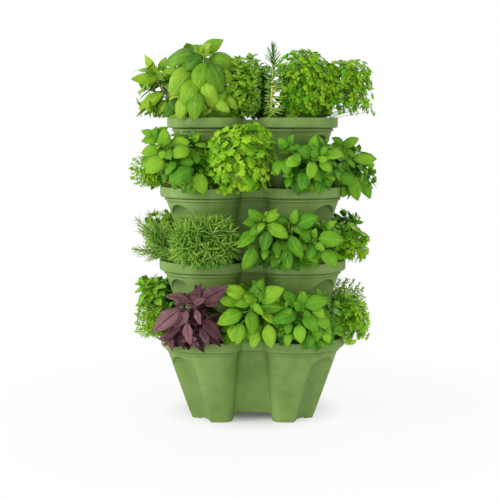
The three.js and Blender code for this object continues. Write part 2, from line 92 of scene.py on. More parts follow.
# A ring of points in mm raised through its levels as by hand: a circle, then extrude and reshape, then fill the ends
def lofted(name, rings):
    deselect()
    bpy.ops.mesh.primitive_circle_add(vertices=len(rings[0]), radius=0.1)
    made = bpy.context.object
    made.name = name
    bpy.ops.object.mode_set(mode="EDIT")
    mesh = bmesh.from_edit_mesh(made.data)
    place = mesh.verts.layers.int.new("place")
    for number, vert in enumerate(mesh.verts):
        vert[place] = number
        vert.co = Vector(rings[0][number]) * mm
    bmesh.update_edit_mesh(made.data)
    bpy.ops.mesh.select_all(action="SELECT")
    for ring in rings[1:]:
        bpy.ops.mesh.extrude_region_move()
        mesh = bmesh.from_edit_mesh(made.data)
        place = mesh.verts.layers.int["place"]
        for vert in mesh.verts:
            if vert.select:
                vert.co = Vector(ring[vert[place]]) * mm
        bmesh.update_edit_mesh(made.data)
    bpy.ops.mesh.edge_face_add()
    bpy.ops.mesh.select_all(action="DESELECT")
    bpy.ops.mesh.select_non_manifold(extend=False)
    bpy.ops.mesh.edge_face_add()
    bpy.ops.mesh.select_all(action="SELECT")
    bpy.ops.mesh.normals_make_consistent(inside=False)
    bpy.ops.object.mode_set(mode="OBJECT")
    return made


# A flat shape carried straight through a distance
def prism(name, points, distance):
    step = Vector(distance)
    far = [Vector(p) + step for p in points]
    return lofted(name, [points, far])


def block(name, low, high):
    corners = [(low[0], low[1]), (high[0], low[1]), (high[0], high[1]), (low[0], high[1])]
    return prism(name, [(x, y, low[2]) for x, y in corners], (0, 0, high[2] - low[2]))


def copyOf(thing):
    copy = thing.copy()
    copy.data = thing.data.copy()
    bpy.context.scene.collection.objects.link(copy)
    return copy


# Four copies turned about the tower's axis, joined to one
def around(thing, first=0):
    copies = [copyOf(thing) for _ in range(4)]
    for turn, copy in enumerate(copies):
        copy.data.transform(Matrix.Rotation(first + turn * quarter, 4, "Z"))
    drop(thing)
    deselect()
    for copy in copies:
        copy.select_set(True)
    bpy.context.view_layer.objects.active = copies[0]
    bpy.ops.object.join()
    return bpy.context.object


# Cuts a tool out of a piece, or joins it on
def worked(thing, tool, way="DIFFERENCE"):
    modifier = thing.modifiers.new("work", "BOOLEAN")
    modifier.operation = way
    modifier.solver = "EXACT"
    modifier.object = tool
    applied(thing)
    drop(tool)
    return thing


def shaded(thing, angle=32):
    only(thing)
    bpy.ops.object.shade_smooth_by_angle(angle=math.radians(angle))
    return thing


def painted(thing, finish):
    thing.data.materials.clear()
    thing.data.materials.append(finish)


# A hex colour as the linear numbers a shader takes
def linear(colour):
    values = [int(colour[start : start + 2], 16) / 255 for start in (0, 2, 4)]
    return [c / 12.92 if c <= 0.04045 else ((c + 0.055) / 1.055) ** 2.4 for c in values] + [1]


# One node with its settings and links; a link is given as (node, output)
def node(tree, kind, inputs=None, **settings):
    made = tree.nodes.new("ShaderNode" + kind)
    for key, value in settings.items():
        setattr(made, key, value)
    for key, value in (inputs or {}).items():
        if isinstance(value, tuple) and isinstance(value[0], bpy.types.Node):
            tree.links.new(value[0].outputs[value[1]], made.inputs[key])
        else:
            made.inputs[key].default_value = value
    return made


# These give back a link to the node they add
def calc(tree, operation, *values, **settings):
    return node(tree, "Math", dict(enumerate(values)), operation=operation, **settings), 0


def noise(tree, place, scale, detail, roughness=0.5):
    inputs = {"Vector": (place, "Object"), "Scale": scale, "Detail": detail, "Roughness": roughness}
    return node(tree, "TexNoise", inputs), "Fac"


def remapped(tree, source, low, high, least=0, most=1, **settings):
    inputs = {"Value": source, "From Min": low, "From Max": high, "To Min": least, "To Max": most}
    return node(tree, "MapRange", inputs, **settings), "Result"


def blended(tree, share, first, second):
    return node(tree, "Mix", {"Factor": share, 6: first, 7: second}, data_type="RGBA"), 2


def ramp(tree, source, stops):
    made = node(tree, "ValToRGB", {"Fac": source})
    bar = made.color_ramp.elements
    while len(bar) < len(stops):
        bar.new(0.5)
    for element, (place, colour) in zip(bar, stops):
        element.position = place
        element.color = linear(colour)
    return made, "Color"


def feed(tree, link, taker, socket):
    tree.links.new(link[0].outputs[link[1]], taker.inputs[socket])


def bumped(tree, shader, height, strength, distance):
    relief = node(tree, "Bump", {"Height": height, "Strength": strength, "Distance": distance})
    feed(tree, (relief, "Normal"), shader, "Normal")


def material(name, sockets):
    made = bpy.data.materials.new(name)
    made.use_nodes = True
    shader = made.node_tree.nodes["Principled BSDF"]
    for socket, value in sockets.items():
        shader.inputs[socket].default_value = value
    return made, made.node_tree, shader


# Injection-moulded polypropylene, coloured in the mass: a dull, slightly waxy green with a fine mould grain,
# faint cloudy flow marks, and painted shade: a darker green mixed in where the flutes and valleys lie in shade,
# and along two lines under the collar and the band
def mouldedPolypropylene(name, light, mid, dark, shadeColour):
    made, tree, shader = material(name, {"IOR": 1.49, "Specular IOR Level": 0.38})
    place = node(tree, "TexCoord")
    flow = noise(tree, place, scale=26, detail=4, roughness=0.55)
    fleck = noise(tree, place, scale=420, detail=3, roughness=0.7)
    both = node(tree, "Mix", {"Factor": 0.3, "A": flow, "B": fleck})
    body = ramp(tree, (both, 0), [(0.3, dark), (0.5, mid), (0.72, light)])
    # painted shade: the recesses and the two lines under the collar and band are darkened by up to a fifth towards
    # the given dark green
    painted_shade = node(tree, "Attribute", attribute_name="painted_shade")
    shadeShare = calc(tree, "MULTIPLY", (painted_shade, "Fac"), 0.2)
    feed(tree, blended(tree, shadeShare, body, linear(shadeColour)), shader, "Base Color")
    feed(tree, remapped(tree, fleck, 0.3, 0.7, least=0.52, most=0.68), shader, "Roughness")
    bumped(tree, shader, noise(tree, place, scale=900, detail=2), strength=0.16, distance=0.0004)
    return made


# Bagged potting mix, damp peat and bark: near black, with brown bark crumbs and a few pale grains of perlite
def dampPottingMix(name):
    made, tree, shader = material(name, {"Roughness": 0.95})
    place = node(tree, "TexCoord")
    crumb = noise(tree, place, scale=260, detail=5, roughness=0.7)
    earth = ramp(tree, crumb, [(0.35, "0E0907"), (0.52, "241810"), (0.68, "3E2B1D")])
    grains = node(tree, "TexVoronoi", {"Vector": (place, "Object"), "Scale": 210})
    pale = calc(tree, "LESS_THAN", (grains, "Distance"), 0.11)
    feed(tree, blended(tree, pale, earth, linear("6F6250")), shader, "Base Color")
    bumped(tree, shader, crumb, strength=0.9, distance=0.002)
    return made


# A living leaf: waxy top skin over green flesh that lets some light through, a paler midrib and side veins with
# the skin swelling between them, and each leaf its own tone, the old ones darker, each a little lighter at its tip
def livingLeaf(name, young, mid, old, vein, veins, gloss, veinStrength):
    skin = {"Roughness": gloss, "IOR": 1.42, "Specular IOR Level": 0.26}
    flesh = {"Subsurface Weight": 0.25, "Subsurface Radius": (0.6, 1.0, 0.2), "Subsurface Scale": 0.0015}
    made, tree, shader = material(name, skin | flesh)
    axes = node(tree, "SeparateXYZ", {"Vector": (node(tree, "UVMap", uv_map="leaf"), "UV")})
    along = (axes, "Y")
    across = calc(tree, "ABSOLUTE", calc(tree, "SUBTRACT", (axes, "X"), 0.5))
    tone = node(tree, "Attribute", attribute_name="leafTone")
    cloud = noise(tree, node(tree, "TexCoord"), scale=90, detail=3)
    green = calc(tree, "MULTIPLY_ADD", along, -0.22, (tone, "Fac"))
    colour = ramp(tree, calc(tree, "MULTIPLY_ADD", cloud, 0.5, green), [(0.18, young), (0.6, mid), (1.0, old)])
    slant = calc(tree, "MULTIPLY_ADD", across, -1.1, along)
    comb = calc(tree, "COSINE", calc(tree, "MULTIPLY", slant, veins * 2 * math.pi))
    sideVeins = remapped(tree, comb, 0.8, 1, most=0.55)
    lines = calc(tree, "MAXIMUM", sideVeins, remapped(tree, across, 0.07, 0.015))
    quilt = calc(tree, "SUBTRACT", remapped(tree, comb, 1, -1, most=0.8), lines)
    share = calc(tree, "MULTIPLY", lines, veinStrength)
    feed(tree, blended(tree, share, colour, linear(vein)), shader, "Base Color")
    bumped(tree, shader, quilt, strength=0.55, distance=0.0008)
    return made


# A soft green stalk, streaked along its length, or an older woody one
def livingStem(name, light, dark):
    made, tree, shader = material(name, {"Roughness": 0.55})
    streak = noise(tree, node(tree, "TexCoord"), scale=160, detail=3)
    feed(tree, ramp(tree, streak, [(0.35, dark), (0.65, light)]), shader, "Base Color")
    return made


# The pots: quatrefoil mouldings that narrow to eight feet, with a band, a collar and round-headed flutes
pots = {
    "sizes": [(305, 143), (308, 143), (304, 136), (280, 127)],  # rim width and height in mm, bottom pot first
    "wall": 3,
    "rimWall": 4,
    "bandHeight": 16.7,
    "bandRound": 3.2,
    "bandSteps": 4,
    "bandInset": 4,
    "bandLip": 10,
    "collarHeight": 5.6,
    "collarLip": 2.6,
    "slopes": (19, 9.4, 5.2),  # degrees from upright: lobe, valley, lobe side
    "rimHalfGap": 12,
    "valleyDepth": 52.5,
    "valleyFillet": 7,
    "tabInset": 28.5,
    "tabFillet": 1,
    "rimCorners": (0.355, 0.57),  # inner and outer corner, as shares of the lobe
    "footCorners": (0.235, 0.44),
    "wallRings": 5,
    "lineRing": 1.8,  # one more ring this far below the wall's top, where the dark line starts
    # height and inset of each ring at the foot, at the collar's foot, below the band and at the rim
    "footEase": [(0, 1), (0.4, 0.3), (1.2, 0)],
    "collarEase": [(0.05, 0.7), (0.35, 0.15), (0.9, 0)],
    "groove": [(-2.1, 0), (-1.5, 0.3), (-1.2, 1.5), (0, 1.5)],
    "rimEase": [(-1.4, 0), (-0.5, 0.25), (0, 0.9)],
    "fluteHead": (38, 18, 5, 30),  # radius, depth, drop below the collar, half width
    "fluteFoot": (38, 19),
    "fluteSteps": 40,
    "archHeight": 12,
    "archSpring": 8,
    "archInset": 2,
    "archFlat": 1,  # how far the flat top reaches past the saddle
    "archFace": 0.6,
    "archEase": 1.2,
    "archSteps": 6,
    "footRound": 3.5,
    "footSteps": 4,
    "footNotch": (11, 60, 2.4),  # half width, length and height
    "floorTop": 15,
    "soilDrop": 17.5,
    "gridHole": (28, 48, 0),  # radius, points and distance from the axis
    "drain": (5, 16, 92),
    "holes": (11, 6),  # foot and height of the tools that cut both
    "saddle": (17, 3.5, 3, 4),  # half width, drop below the rim, thickness, overlap
    "pocketHalf": 10,
    "gusset": (2, 3, 1, 8),  # half width, inset, half height at the tip, height at the wall
    "over": 1,  # how far cutting tools pass what they cut
    "ledgeStep": 0.01,
    "painted_shade": 14,  # how deep in mm a recess is before its painted shade is at its full
    "valleyPaintedShade": 0.4,  # the open valleys get less painted shade than the flutes
    "linePaintedShade": (2.3, 0.7, 0.75),  # strength of the two lines of painted shade, drop below the band, half width
    "steps": (4, 9, 9),  # points round the fillet, the lobe's inner corner and its outer corner
}


def outline(shape, z):
    gap, reach, valley, inner, outer, fillet = shape
    filletSteps, innerSteps, outerSteps = pots["steps"]
    innerY = reach - inner
    start = valley + fillet
    turn = math.asin(max(0, start - innerY) / inner)
    side = gap + inner * (1 - math.cos(turn))
    eighth = []
    for k in range(filletSteps + 1):
        angle = quarter * k / filletSteps
        eighth.append((side - fillet * (1 - math.sin(angle)), start - fillet * math.cos(angle)))
    for k in range(1, innerSteps + 1):
        angle = turn + (quarter - turn) * k / innerSteps
        eighth.append((gap + inner * (1 - math.cos(angle)), innerY + inner * math.sin(angle)))
    centre = reach - outer
    for k in range(outerSteps + 1):
        angle = quarter - quarter / 2 * k / outerSteps
        eighth.append((centre + outer * math.cos(angle), centre + outer * math.sin(angle)))
    lobe = eighth + [(y, x) for x, y in reversed(eighth[:-1])]
    ring = []
    for turns in range(4):
        c, s = math.cos(-turns * quarter), math.sin(-turns * quarter)
        ring += [(x * c - y * s, x * s + y * c, z) for x, y in lobe]
    return ring[::-1]


# A shape is (half gap, reach, valley, inner corner, outer corner, fillet)
def drawnIn(shape, d):
    gap, reach, valley, inner, outer, fillet = shape
    return (gap + d, reach - d, valley - d, inner - d, outer - d, fillet + d)


def potPlan(rimWidth, height):
    reach = rimWidth / 2
    lobe = reach - pots["rimHalfGap"]
    inner, outer = pots["rimCorners"]
    rim = (pots["rimHalfGap"], reach, reach - pots["tabInset"], lobe * inner, lobe * outer, pots["tabFillet"])
    wallTop = height - pots["bandHeight"] - pots["collarHeight"]
    drawn = drawnIn(rim, pots["bandLip"])
    top = drawn[:2] + (reach - pots["valleyDepth"],) + drawn[3:5] + (pots["valleyFillet"],)
    lobeSlope, valleySlope, sideSlope = [math.tan(math.radians(a)) for a in pots["slopes"]]
    footReach = top[1] - wallTop * lobeSlope
    footGap = top[0] + wallTop * sideSlope
    inner, outer = pots["footCorners"]
    foot = (
        footGap,
        footReach,
        top[2] - wallTop * valleySlope,
        (footReach - footGap) * inner,
        (footReach - footGap) * outer,
        pots["valleyFillet"],
    )
    return {
        "height": height,
        "reach": reach,
        "rim": rim,
        "top": top,
        "foot": foot,
        "wallTop": wallTop,
        "soilTop": height - pots["soilDrop"],
        "floorTop": pots["floorTop"],
    }


def wallAt(plan, z, d=0):
    share = z / plan["wallTop"]
    shape = tuple(a + (b - a) * share for a, b in zip(plan["foot"], plan["top"]))
    return drawnIn(shape, d)


def diagonalReach(shape):
    return math.sqrt(2) * (shape[1] - shape[4]) + shape[4]


# The pot's outside from foot to rim: soft foot edge, sloped wall, collar, rounded band and softened rim
def outsideRings(plan):
    wallTop, top, steps = plan["wallTop"], plan["height"], pots["bandSteps"]
    bandFoot = top - pots["bandHeight"]
    lip, inset, count = pots["collarLip"], pots["bandInset"], pots["wallRings"]
    levels = [wallTop * k / count for k in range(1, count + 1)]
    levels.insert(-1, wallTop - pots["lineRing"])
    rings = [outline(wallAt(plan, z, d), z) for z, d in pots["footEase"]]
    rings += [outline(wallAt(plan, z), z) for z in levels]
    rings += [outline(drawnIn(plan["top"], d - lip), wallTop + z) for z, d in pots["collarEase"]]
    rings += [outline(drawnIn(plan["top"], d - lip), bandFoot + z) for z, d in pots["groove"]]
    for k in range(steps + 1):
        angle = quarter * k / steps
        z = bandFoot + pots["bandRound"] * (1 - math.cos(angle))
        rings.append(outline(drawnIn(plan["rim"], inset * (1 - math.sin(angle))), z))
    return rings + [outline(drawnIn(plan["rim"], d), top + z) for z, d in pots["rimEase"]]


# The room inside, above the floor, with the walls' slope
def insideRings(plan, low, d):
    wall = pots["wall"] + d
    ledge = plan["height"] - pots["bandHeight"] + pots["wall"]
    mouth = drawnIn(plan["rim"], pots["rimWall"] + d)
    mouth = mouth[:2] + (plan["top"][2] - wall,) + mouth[3:5] + (pots["valleyFillet"],)
    return [
        outline(wallAt(plan, low, wall), low),
        outline(wallAt(plan, ledge, wall), ledge + d),
        outline(mouth, ledge + d + pots["ledgeStep"]),
        outline(mouth, plan["height"] + pots["over"]),
    ]


# Four tapering grooves with round heads, on the lobes' corners
def fluteTools(plan, grow):
    headRadius, headDepth, headDrop, halfWidth = pots["fluteHead"]
    over, steps = pots["over"], pots["fluteSteps"]
    turns = [2 * math.pi * k / steps for k in range(steps)]

    def circle(radius, depth, shape, z):
        far = diagonalReach(shape) + radius - depth
        size = radius + grow
        return [(size * math.cos(a), size * math.sin(a) - far, z) for a in turns]

    foot = circle(*pots["fluteFoot"], plan["foot"], -over)
    cone = lofted("groove", [foot, circle(headRadius, headDepth, plan["top"], plan["wallTop"])])
    half = halfWidth + grow
    spring = plan["wallTop"] - headDrop - halfWidth
    arch = [(-half, 0, -2 * over), (half, 0, -2 * over)]
    arch += [(half * math.cos(a), 0, spring + half * math.sin(a)) for a in turns[: steps // 2] + [math.pi]]
    head = prism("head", arch, (0, -2 * plan["reach"], 0))
    return around(worked(cone, head, "INTERSECT"), quarter / 2)


# The arch, with its feet's corners rounded and its outer edge eased so that it catches the light
def archTool(plan, way):
    half = plan["foot"][0] - pots["archInset"]
    flat = pots["saddle"][0] + pots["archFlat"]
    spring, rise = pots["archSpring"], pots["archHeight"] - pots["archSpring"]
    soft, face, eased = pots["footRound"], plan["foot"][2], pots["archEase"]

    def section(reach, ease):
        side = half + ease
        points = [(half + soft + ease, -pots["over"]), (half + soft + ease, 0)]
        for k in range(1, pots["footSteps"] + 1):
            angle = quarter * k / pots["footSteps"]
            points.append((side + soft * (1 - math.sin(angle)), soft * (1 - math.cos(angle))))
        for k in range(pots["archSteps"] + 1):
            angle = quarter * k / pots["archSteps"]
            points.append((flat + (side - flat) * math.cos(angle), spring + (rise + ease) * math.sin(angle)))
        points += [(-x, z) for x, z in reversed(points)]
        return [(x, reach, z) if way == "y" else (reach, x, z) for x, z in points]

    reaches = [(plan["reach"], eased), (face + pots["archFace"], eased), (face - eased, 0)]
    reaches += [(-reach, ease) for reach, ease in reversed(reaches)]
    return lofted("arch", [section(reach, ease) for reach, ease in reaches])


def hole(name, radius, points, far):
    foot, height = pots["holes"]
    turns = [2 * math.pi * k / points for k in range(points)]
    return prism(name, [(radius * math.cos(a), radius * math.sin(a) - far, foot) for a in turns], (0, 0, height))


def pot(plan, carried, footZ, name):
    height, wall, over, under = plan["height"], pots["wall"], pots["over"], pots["archHeight"]
    half, deckDrop, thickness, overlap = pots["saddle"]
    deckTop = height - deckDrop
    deckFoot = deckTop - thickness
    body = lofted(name, outsideRings(plan))
    worked(body, fluteTools(plan, 0))
    room = lofted("room", insideRings(plan, plan["floorTop"], 0))
    skirt = lofted("skirt", [outline(wallAt(plan, 0, wall), -over), outline(wallAt(plan, under, wall), under)])
    fat = fluteTools(plan, wall)
    worked(room, copyOf(fat))
    worked(skirt, fat)
    worked(body, room)
    worked(body, skirt)
    worked(body, archTool(plan, "x"))
    worked(body, archTool(plan, "y"))
    valley, gap, side = plan["top"][2], pots["rimHalfGap"], pots["pocketHalf"]
    notch = block("notch", (-gap, -plan["reach"], deckTop), (gap, -valley + wall + over, height + over))
    worked(body, around(notch))
    corner = (-side, -plan["rim"][2] + wall, height - pots["bandHeight"] - over)
    worked(body, around(block("pocket", corner, (side, -valley, deckFoot))))
    footReach = diagonalReach(plan["foot"])
    side, length, notchTop = pots["footNotch"]
    notch = block("footNotch", (-side, -footReach - over, -over), (side, length - footReach, notchTop))
    worked(body, around(notch, quarter / 2))
    worked(body, hole("gridHole", *pots["gridHole"]))
    worked(body, around(hole("drain", *pots["drain"]), quarter / 2))
    inner = carried["foot"][2] - wall - overlap
    outer = valley - wall / 2
    worked(body, around(block("deck", (-half, -outer, deckFoot), (half, -inner, deckTop))), "UNION")
    thin, inset, tip, deep = pots["gusset"]
    points = [(-outer, tip), (-inner - inset, tip), (-inner - inset, -tip), (-outer, -deep)]
    gusset = prism("gusset", [(-thin, y, deckFoot + z) for y, z in points], (2 * thin, 0, 0))
    worked(body, around(gusset), "UNION")
    # paints shade into the flutes, the valleys and the lines under the collar and band
    markPaintedShade(body.data, plan)
    body.data.transform(Matrix.Translation((0, 0, footZ)))
    return shaded(body)


# Painted shade: how far each point lies behind the square with rounded corners that the four lobes touch, and two
# lines of painted shade, under the collar and under the band
def markPaintedShade(mesh, plan):
    values = []
    strength, below, half = pots["linePaintedShade"]
    lines = (plan["wallTop"], plan["height"] - pots["bandHeight"] - below)
    for vert in mesh.vertices:
        x, y, z = abs(vert.co.x) / mm, abs(vert.co.y) / mm, vert.co.z / mm
        shape = wallAt(plan, z) if z < plan["wallTop"] else plan["rim"]
        corner = shape[1] - shape[4]
        if min(x, y) > corner:
            share = min(1, max(0, shape[4] - math.hypot(x - corner, y - corner)) / pots["painted_shade"])
        else:
            share = min(1, max(0, shape[1] - max(x, y)) / pots["painted_shade"]) * pots["valleyPaintedShade"]
        share = share if z < plan["wallTop"] else 0
        values.append(strength if min(abs(z - line) for line in lines) < half else share)
    mark = mesh.attributes.new("painted_shade", "FLOAT", "POINT")
    mark.data.foreach_set("value", values)


plans = [potPlan(*size) for size in pots["sizes"]]
potFeet = [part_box("pot_%d" % tier)[0].z for tier in (1, 2, 3, 4)]
# the last colour is the dark green that the painted shade mixes in
potGreen = mouldedPolypropylene("moulded green polypropylene", "90AC60", "7D9D4E", "69873E", "2C3A16")
gridGreen = mouldedPolypropylene("moulded grid polypropylene", "6F8D49", "63803F", "557036", "2C3A16")
potMeshes = []
for tier, plan in enumerate(plans, 1):
    made = pot(plan, plans[min(tier, 3)], potFeet[tier - 1], "moulded_pot_%d" % tier)
    painted(made, potGreen)
    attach(made, "tier_%d" % tier)
    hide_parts("pot_%d" % tier)
    potMeshes.append(made)
    print("pot", tier, "moulded,", len(made.data.polygons), "faces")
for tier in (1, 2, 3, 4):
    painted(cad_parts["drain_grid_%d" % tier], gridGreen)


# The potting mix: it fills the pot to just below the next pot's feet, with a crumbly top
mix = {
    "gap": 0.5,
    "above": 3,  # over the pot's floor
    "shoulder": (13.7, 12),  # below the rim: where the pot is measured for its width, and its top before it is cut
    "span": 2.1,  # the cutter's width over the pot's reach
    "cutHeight": 30,
    "cells": 110,
    "relief": 1.6,  # mm, under the 2 mm that the next pot's feet hang above it
    "swell": (61, 47, 0.6, 0.4),  # waves in each direction, their height, and how far it all lies lower
    "seed": 11,
}


def pottingMix(plan, footZ, name, chance):
    gap, height, wall = mix["gap"], plan["height"], pots["wall"]
    wide, high = mix["shoulder"]
    rings = insideRings(plan, plan["floorTop"] + mix["above"], gap)[:2]
    rings.append(outline(drawnIn(wallAt(plan, height - wide, wall), gap), height - high))
    body = lofted(name, rings)
    worked(body, fluteTools(plan, wall + gap))
    deselect()
    span, cells = mix["span"] * plan["reach"] * mm, mix["cells"]
    bpy.ops.mesh.primitive_grid_add(x_subdivisions=cells, y_subdivisions=cells, size=span)
    top = bpy.context.object
    waveX, waveY, tall, lower = mix["swell"]
    for vert in top.data.vertices:
        coarse = chance.random() ** 2 * mix["relief"]
        swell = math.sin(vert.co.x * waveX) * math.cos(vert.co.y * waveY) * tall
        vert.co.z = (plan["soilTop"] + coarse + swell - lower) * mm
    only(top)
    bpy.ops.object.mode_set(mode="EDIT")
    bpy.ops.mesh.select_all(action="SELECT")
    bpy.ops.mesh.extrude_region_move(TRANSFORM_OT_translate={"value": (0, 0, mix["cutHeight"] * mm)})
    bpy.ops.mesh.select_all(action="SELECT")
    bpy.ops.mesh.normals_make_consistent(inside=False)
    bpy.ops.object.mode_set(mode="OBJECT")
    worked(body, top)
    body.data.transform(Matrix.Translation((0, 0, footZ)))
    return shaded(body, 60)


earth = dampPottingMix("damp potting mix")
chance = random.Random(mix["seed"])
for tier, plan in enumerate(plans, 1):
    made = pottingMix(plan, potFeet[tier - 1], "loose_mix_%d" % tier, chance)
    painted(made, earth)
    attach(made, "tier_%d" % tier)
    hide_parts("potting_mix_%d" % tier)
    print("potting mix", tier, "filled,", len(made.data.polygons), "faces")


# Leaf blades, one unit long and lying along +Y, top up. Widths are half widths at shares of the length.
blades = {
    "basil": {
        "widths": [
            (0, 0.02), (0.05, 0.03), (0.12, 0.17), (0.28, 0.28), (0.46, 0.315), (0.66, 0.27), (0.86, 0.15), (1, 0.01),
        ],
        "cells": (4, 7), "fold": 0.2, "curl": 0.26, "cup": 0.1, "wave": 0.015, "thick": 0.012,
    },
    "bigBasil": {
        "widths": [
            (0, 0.02), (0.05, 0.05), (0.1, 0.16), (0.22, 0.27), (0.42, 0.325),
            (0.64, 0.285), (0.84, 0.165), (0.94, 0.07), (1, 0.01),
        ],
        "cells": (6, 10), "fold": 0.1, "curl": 0.38, "cup": 0.28, "wave": 0.012, "thick": 0.01,
    },
    "purple": {
        "widths": [
            (0, 0.02), (0.06, 0.03), (0.14, 0.14), (0.3, 0.235), (0.48, 0.25), (0.7, 0.18), (0.86, 0.085), (1, 0.008),
        ],
        "cells": (4, 8), "fold": 0.24, "curl": 0.3, "cup": 0.06, "wave": 0.03, "thick": 0.012,
    },
    "mint": {
        "widths": [
            (0, 0.02), (0.05, 0.03), (0.12, 0.22), (0.28, 0.32), (0.48, 0.34), (0.7, 0.27), (0.87, 0.14), (1, 0.012),
        ],
        "cells": (4, 5), "fold": 0.2, "curl": 0.2, "cup": 0.06, "wave": 0.025, "thick": 0.014,
    },
    "balm": {
        "widths": [
            (0, 0.02), (0.1, 0.03), (0.17, 0.24), (0.32, 0.345), (0.5, 0.36), (0.7, 0.29), (0.87, 0.16), (1, 0.02),
        ],
        "cells": (4, 5), "fold": 0.12, "curl": 0.24, "cup": 0.16, "wave": 0.03, "thick": 0.014,
    },
    "sage": {
        "widths": [
            (0, 0.02), (0.12, 0.03), (0.2, 0.14), (0.35, 0.22), (0.55, 0.245), (0.75, 0.21), (0.9, 0.125), (1, 0.02),
        ],
        "cells": (4, 7), "fold": 0.12, "curl": 0.22, "cup": 0.1, "wave": 0.015, "thick": 0.014,
    },
    "bay": {
        "widths": [
            (0, 0.02), (0.07, 0.05), (0.2, 0.14), (0.4, 0.21), (0.55, 0.215), (0.75, 0.15), (0.9, 0.065), (1, 0.006),
        ],
        "cells": (4, 8), "fold": 0.16, "curl": 0.14, "cup": 0.04, "wave": 0.015, "thick": 0.012,
    },
    "narrow": {
        "widths": [(0, 0.03), (0.2, 0.042), (0.45, 0.05), (0.75, 0.035), (1, 0.008)],
        "cells": (2, 4), "fold": 0.5, "curl": 0.16, "cup": 0, "wave": 0, "thick": 0.02,
    },
    "needle": {
        "widths": [(0, 0.025), (0.15, 0.036), (0.8, 0.034), (1, 0.01)],
        "cells": (2, 3), "fold": -0.5, "curl": 0.1, "cup": 0, "wave": 0, "thick": 0.035,
    },
    "tiny": {
        "widths": [(0, 0.06), (0.3, 0.24), (0.6, 0.26), (1, 0.03)],
        "cells": (2, 3), "fold": 0.15, "curl": 0.1, "cup": 0, "wave": 0, "thick": 0.05,
    },
}
blades["oregano"] = {**blades["balm"], "cells": (2, 5)}
bends = (0.45, 1, 1.7)  # each blade is cut three times: nearly flat, as it mostly hangs, and well curled
bladeForm = {"cupHeight": 1.6, "waves": 15}


def between(points, share):
    for (a, low), (b, high) in zip(points, points[1:]):
        if share <= b:
            t = (share - a) / (b - a)
            return low + (high - low) * t
    return points[-1][1]


# The blade is given its thickness, and its points, faces and UVs are kept as plain lists for copying
def kept(thing, thickness):
    modifier = thing.modifiers.new("thickness", "SOLIDIFY")
    modifier.thickness = thickness
    modifier.offset = 0
    mesh = applied(thing).data
    points = np.array([v.co for v in mesh.vertices])
    faces = [tuple(p.vertices) for p in mesh.polygons]
    uvs = [tuple(mesh.uv_layers[0].data[i].uv) for p in mesh.polygons for i in p.loop_indices]
    drop(thing)
    half, droop = np.abs(points[:, 0]).max(), points[:, 2].min()
    return {"points": points, "faces": faces, "uvs": uvs, "half": half, "droop": droop}


def blade(shape, bend):
    across, along = shape["cells"]
    deselect()
    bpy.ops.mesh.primitive_grid_add(x_subdivisions=across, y_subdivisions=along, size=1)
    made = bpy.context.object
    for vert in made.data.vertices:
        u, t = vert.co.x * 2, vert.co.y + 0.5
        half = between(shape["widths"], t)
        rise = shape["fold"] * abs(u) * half - shape["curl"] * bend * t * t
        rise += shape["cup"] * (1 - u * u) * math.sin(math.pi * t) * half * bladeForm["cupHeight"]
        rise += shape["wave"] * math.sin(t * bladeForm["waves"] + u) * abs(u)
        vert.co = (u * half, t, rise)
    return kept(made, shape["thick"])


# A cut leaflet: a fan whose edge runs out into rounded lobes
lobedBlades = {
    "parsleyLeaflet": {"lobes": 5, "points": 20, "deep": 0.4, "cup": 0.2, "thick": 0.025},
    "celeryLeaflet": {"lobes": 5, "points": 24, "deep": 0.34, "cup": 0.2, "thick": 0.02},
}
leafletForm = {
    "radius": 0.55,
    "centre": 0.42,  # how far from the stalk
    "sunk": 0.02,
    "spacing": 1.25,  # of the lobes round the edge
    "narrowing": (0.72, 0.6, 0.4),  # how much narrower at the stalk, from where round the edge, and over how far
    "level": 0.4,  # where the cup crosses the leaflet's plane
    "bend": 0.12,
}


def lobedBlade(shape, bend):
    deselect()
    bpy.ops.mesh.primitive_circle_add(vertices=shape["points"], radius=0.5, fill_type="TRIFAN")
    made = bpy.context.object
    radius, centre = leafletForm["radius"], leafletForm["centre"]
    least, start, over = leafletForm["narrowing"]
    for vert in made.data.vertices:
        far = vert.co.length * 2
        if far > 0.01:
            angle = math.atan2(vert.co.x, vert.co.y)  # from the tip, either way round
            share = abs(angle) / math.pi
            lobe = 1 - shape["deep"] * (0.5 - 0.5 * math.cos(angle * shape["lobes"] * leafletForm["spacing"]))
            size = lobe * (1 - least * max(0, share - start) / over)
            rise = shape["cup"] * (far - leafletForm["level"]) * size - leafletForm["bend"] * bend * math.cos(angle)
            vert.co = (radius * size * math.sin(angle), centre + radius * size * math.cos(angle), rise)
        else:
            vert.co = (0, centre, -leafletForm["sunk"])
    return kept(made, shape["thick"])


leaves = {name: [blade(shape, bend) for bend in bends] for name, shape in blades.items()}
leaves.update({name: [lobedBlade(shape, bend) for bend in bends] for name, shape in lobedBlades.items()})
print("leaf blades cut:", len(leaves), "kinds,", len(bends), "of each")
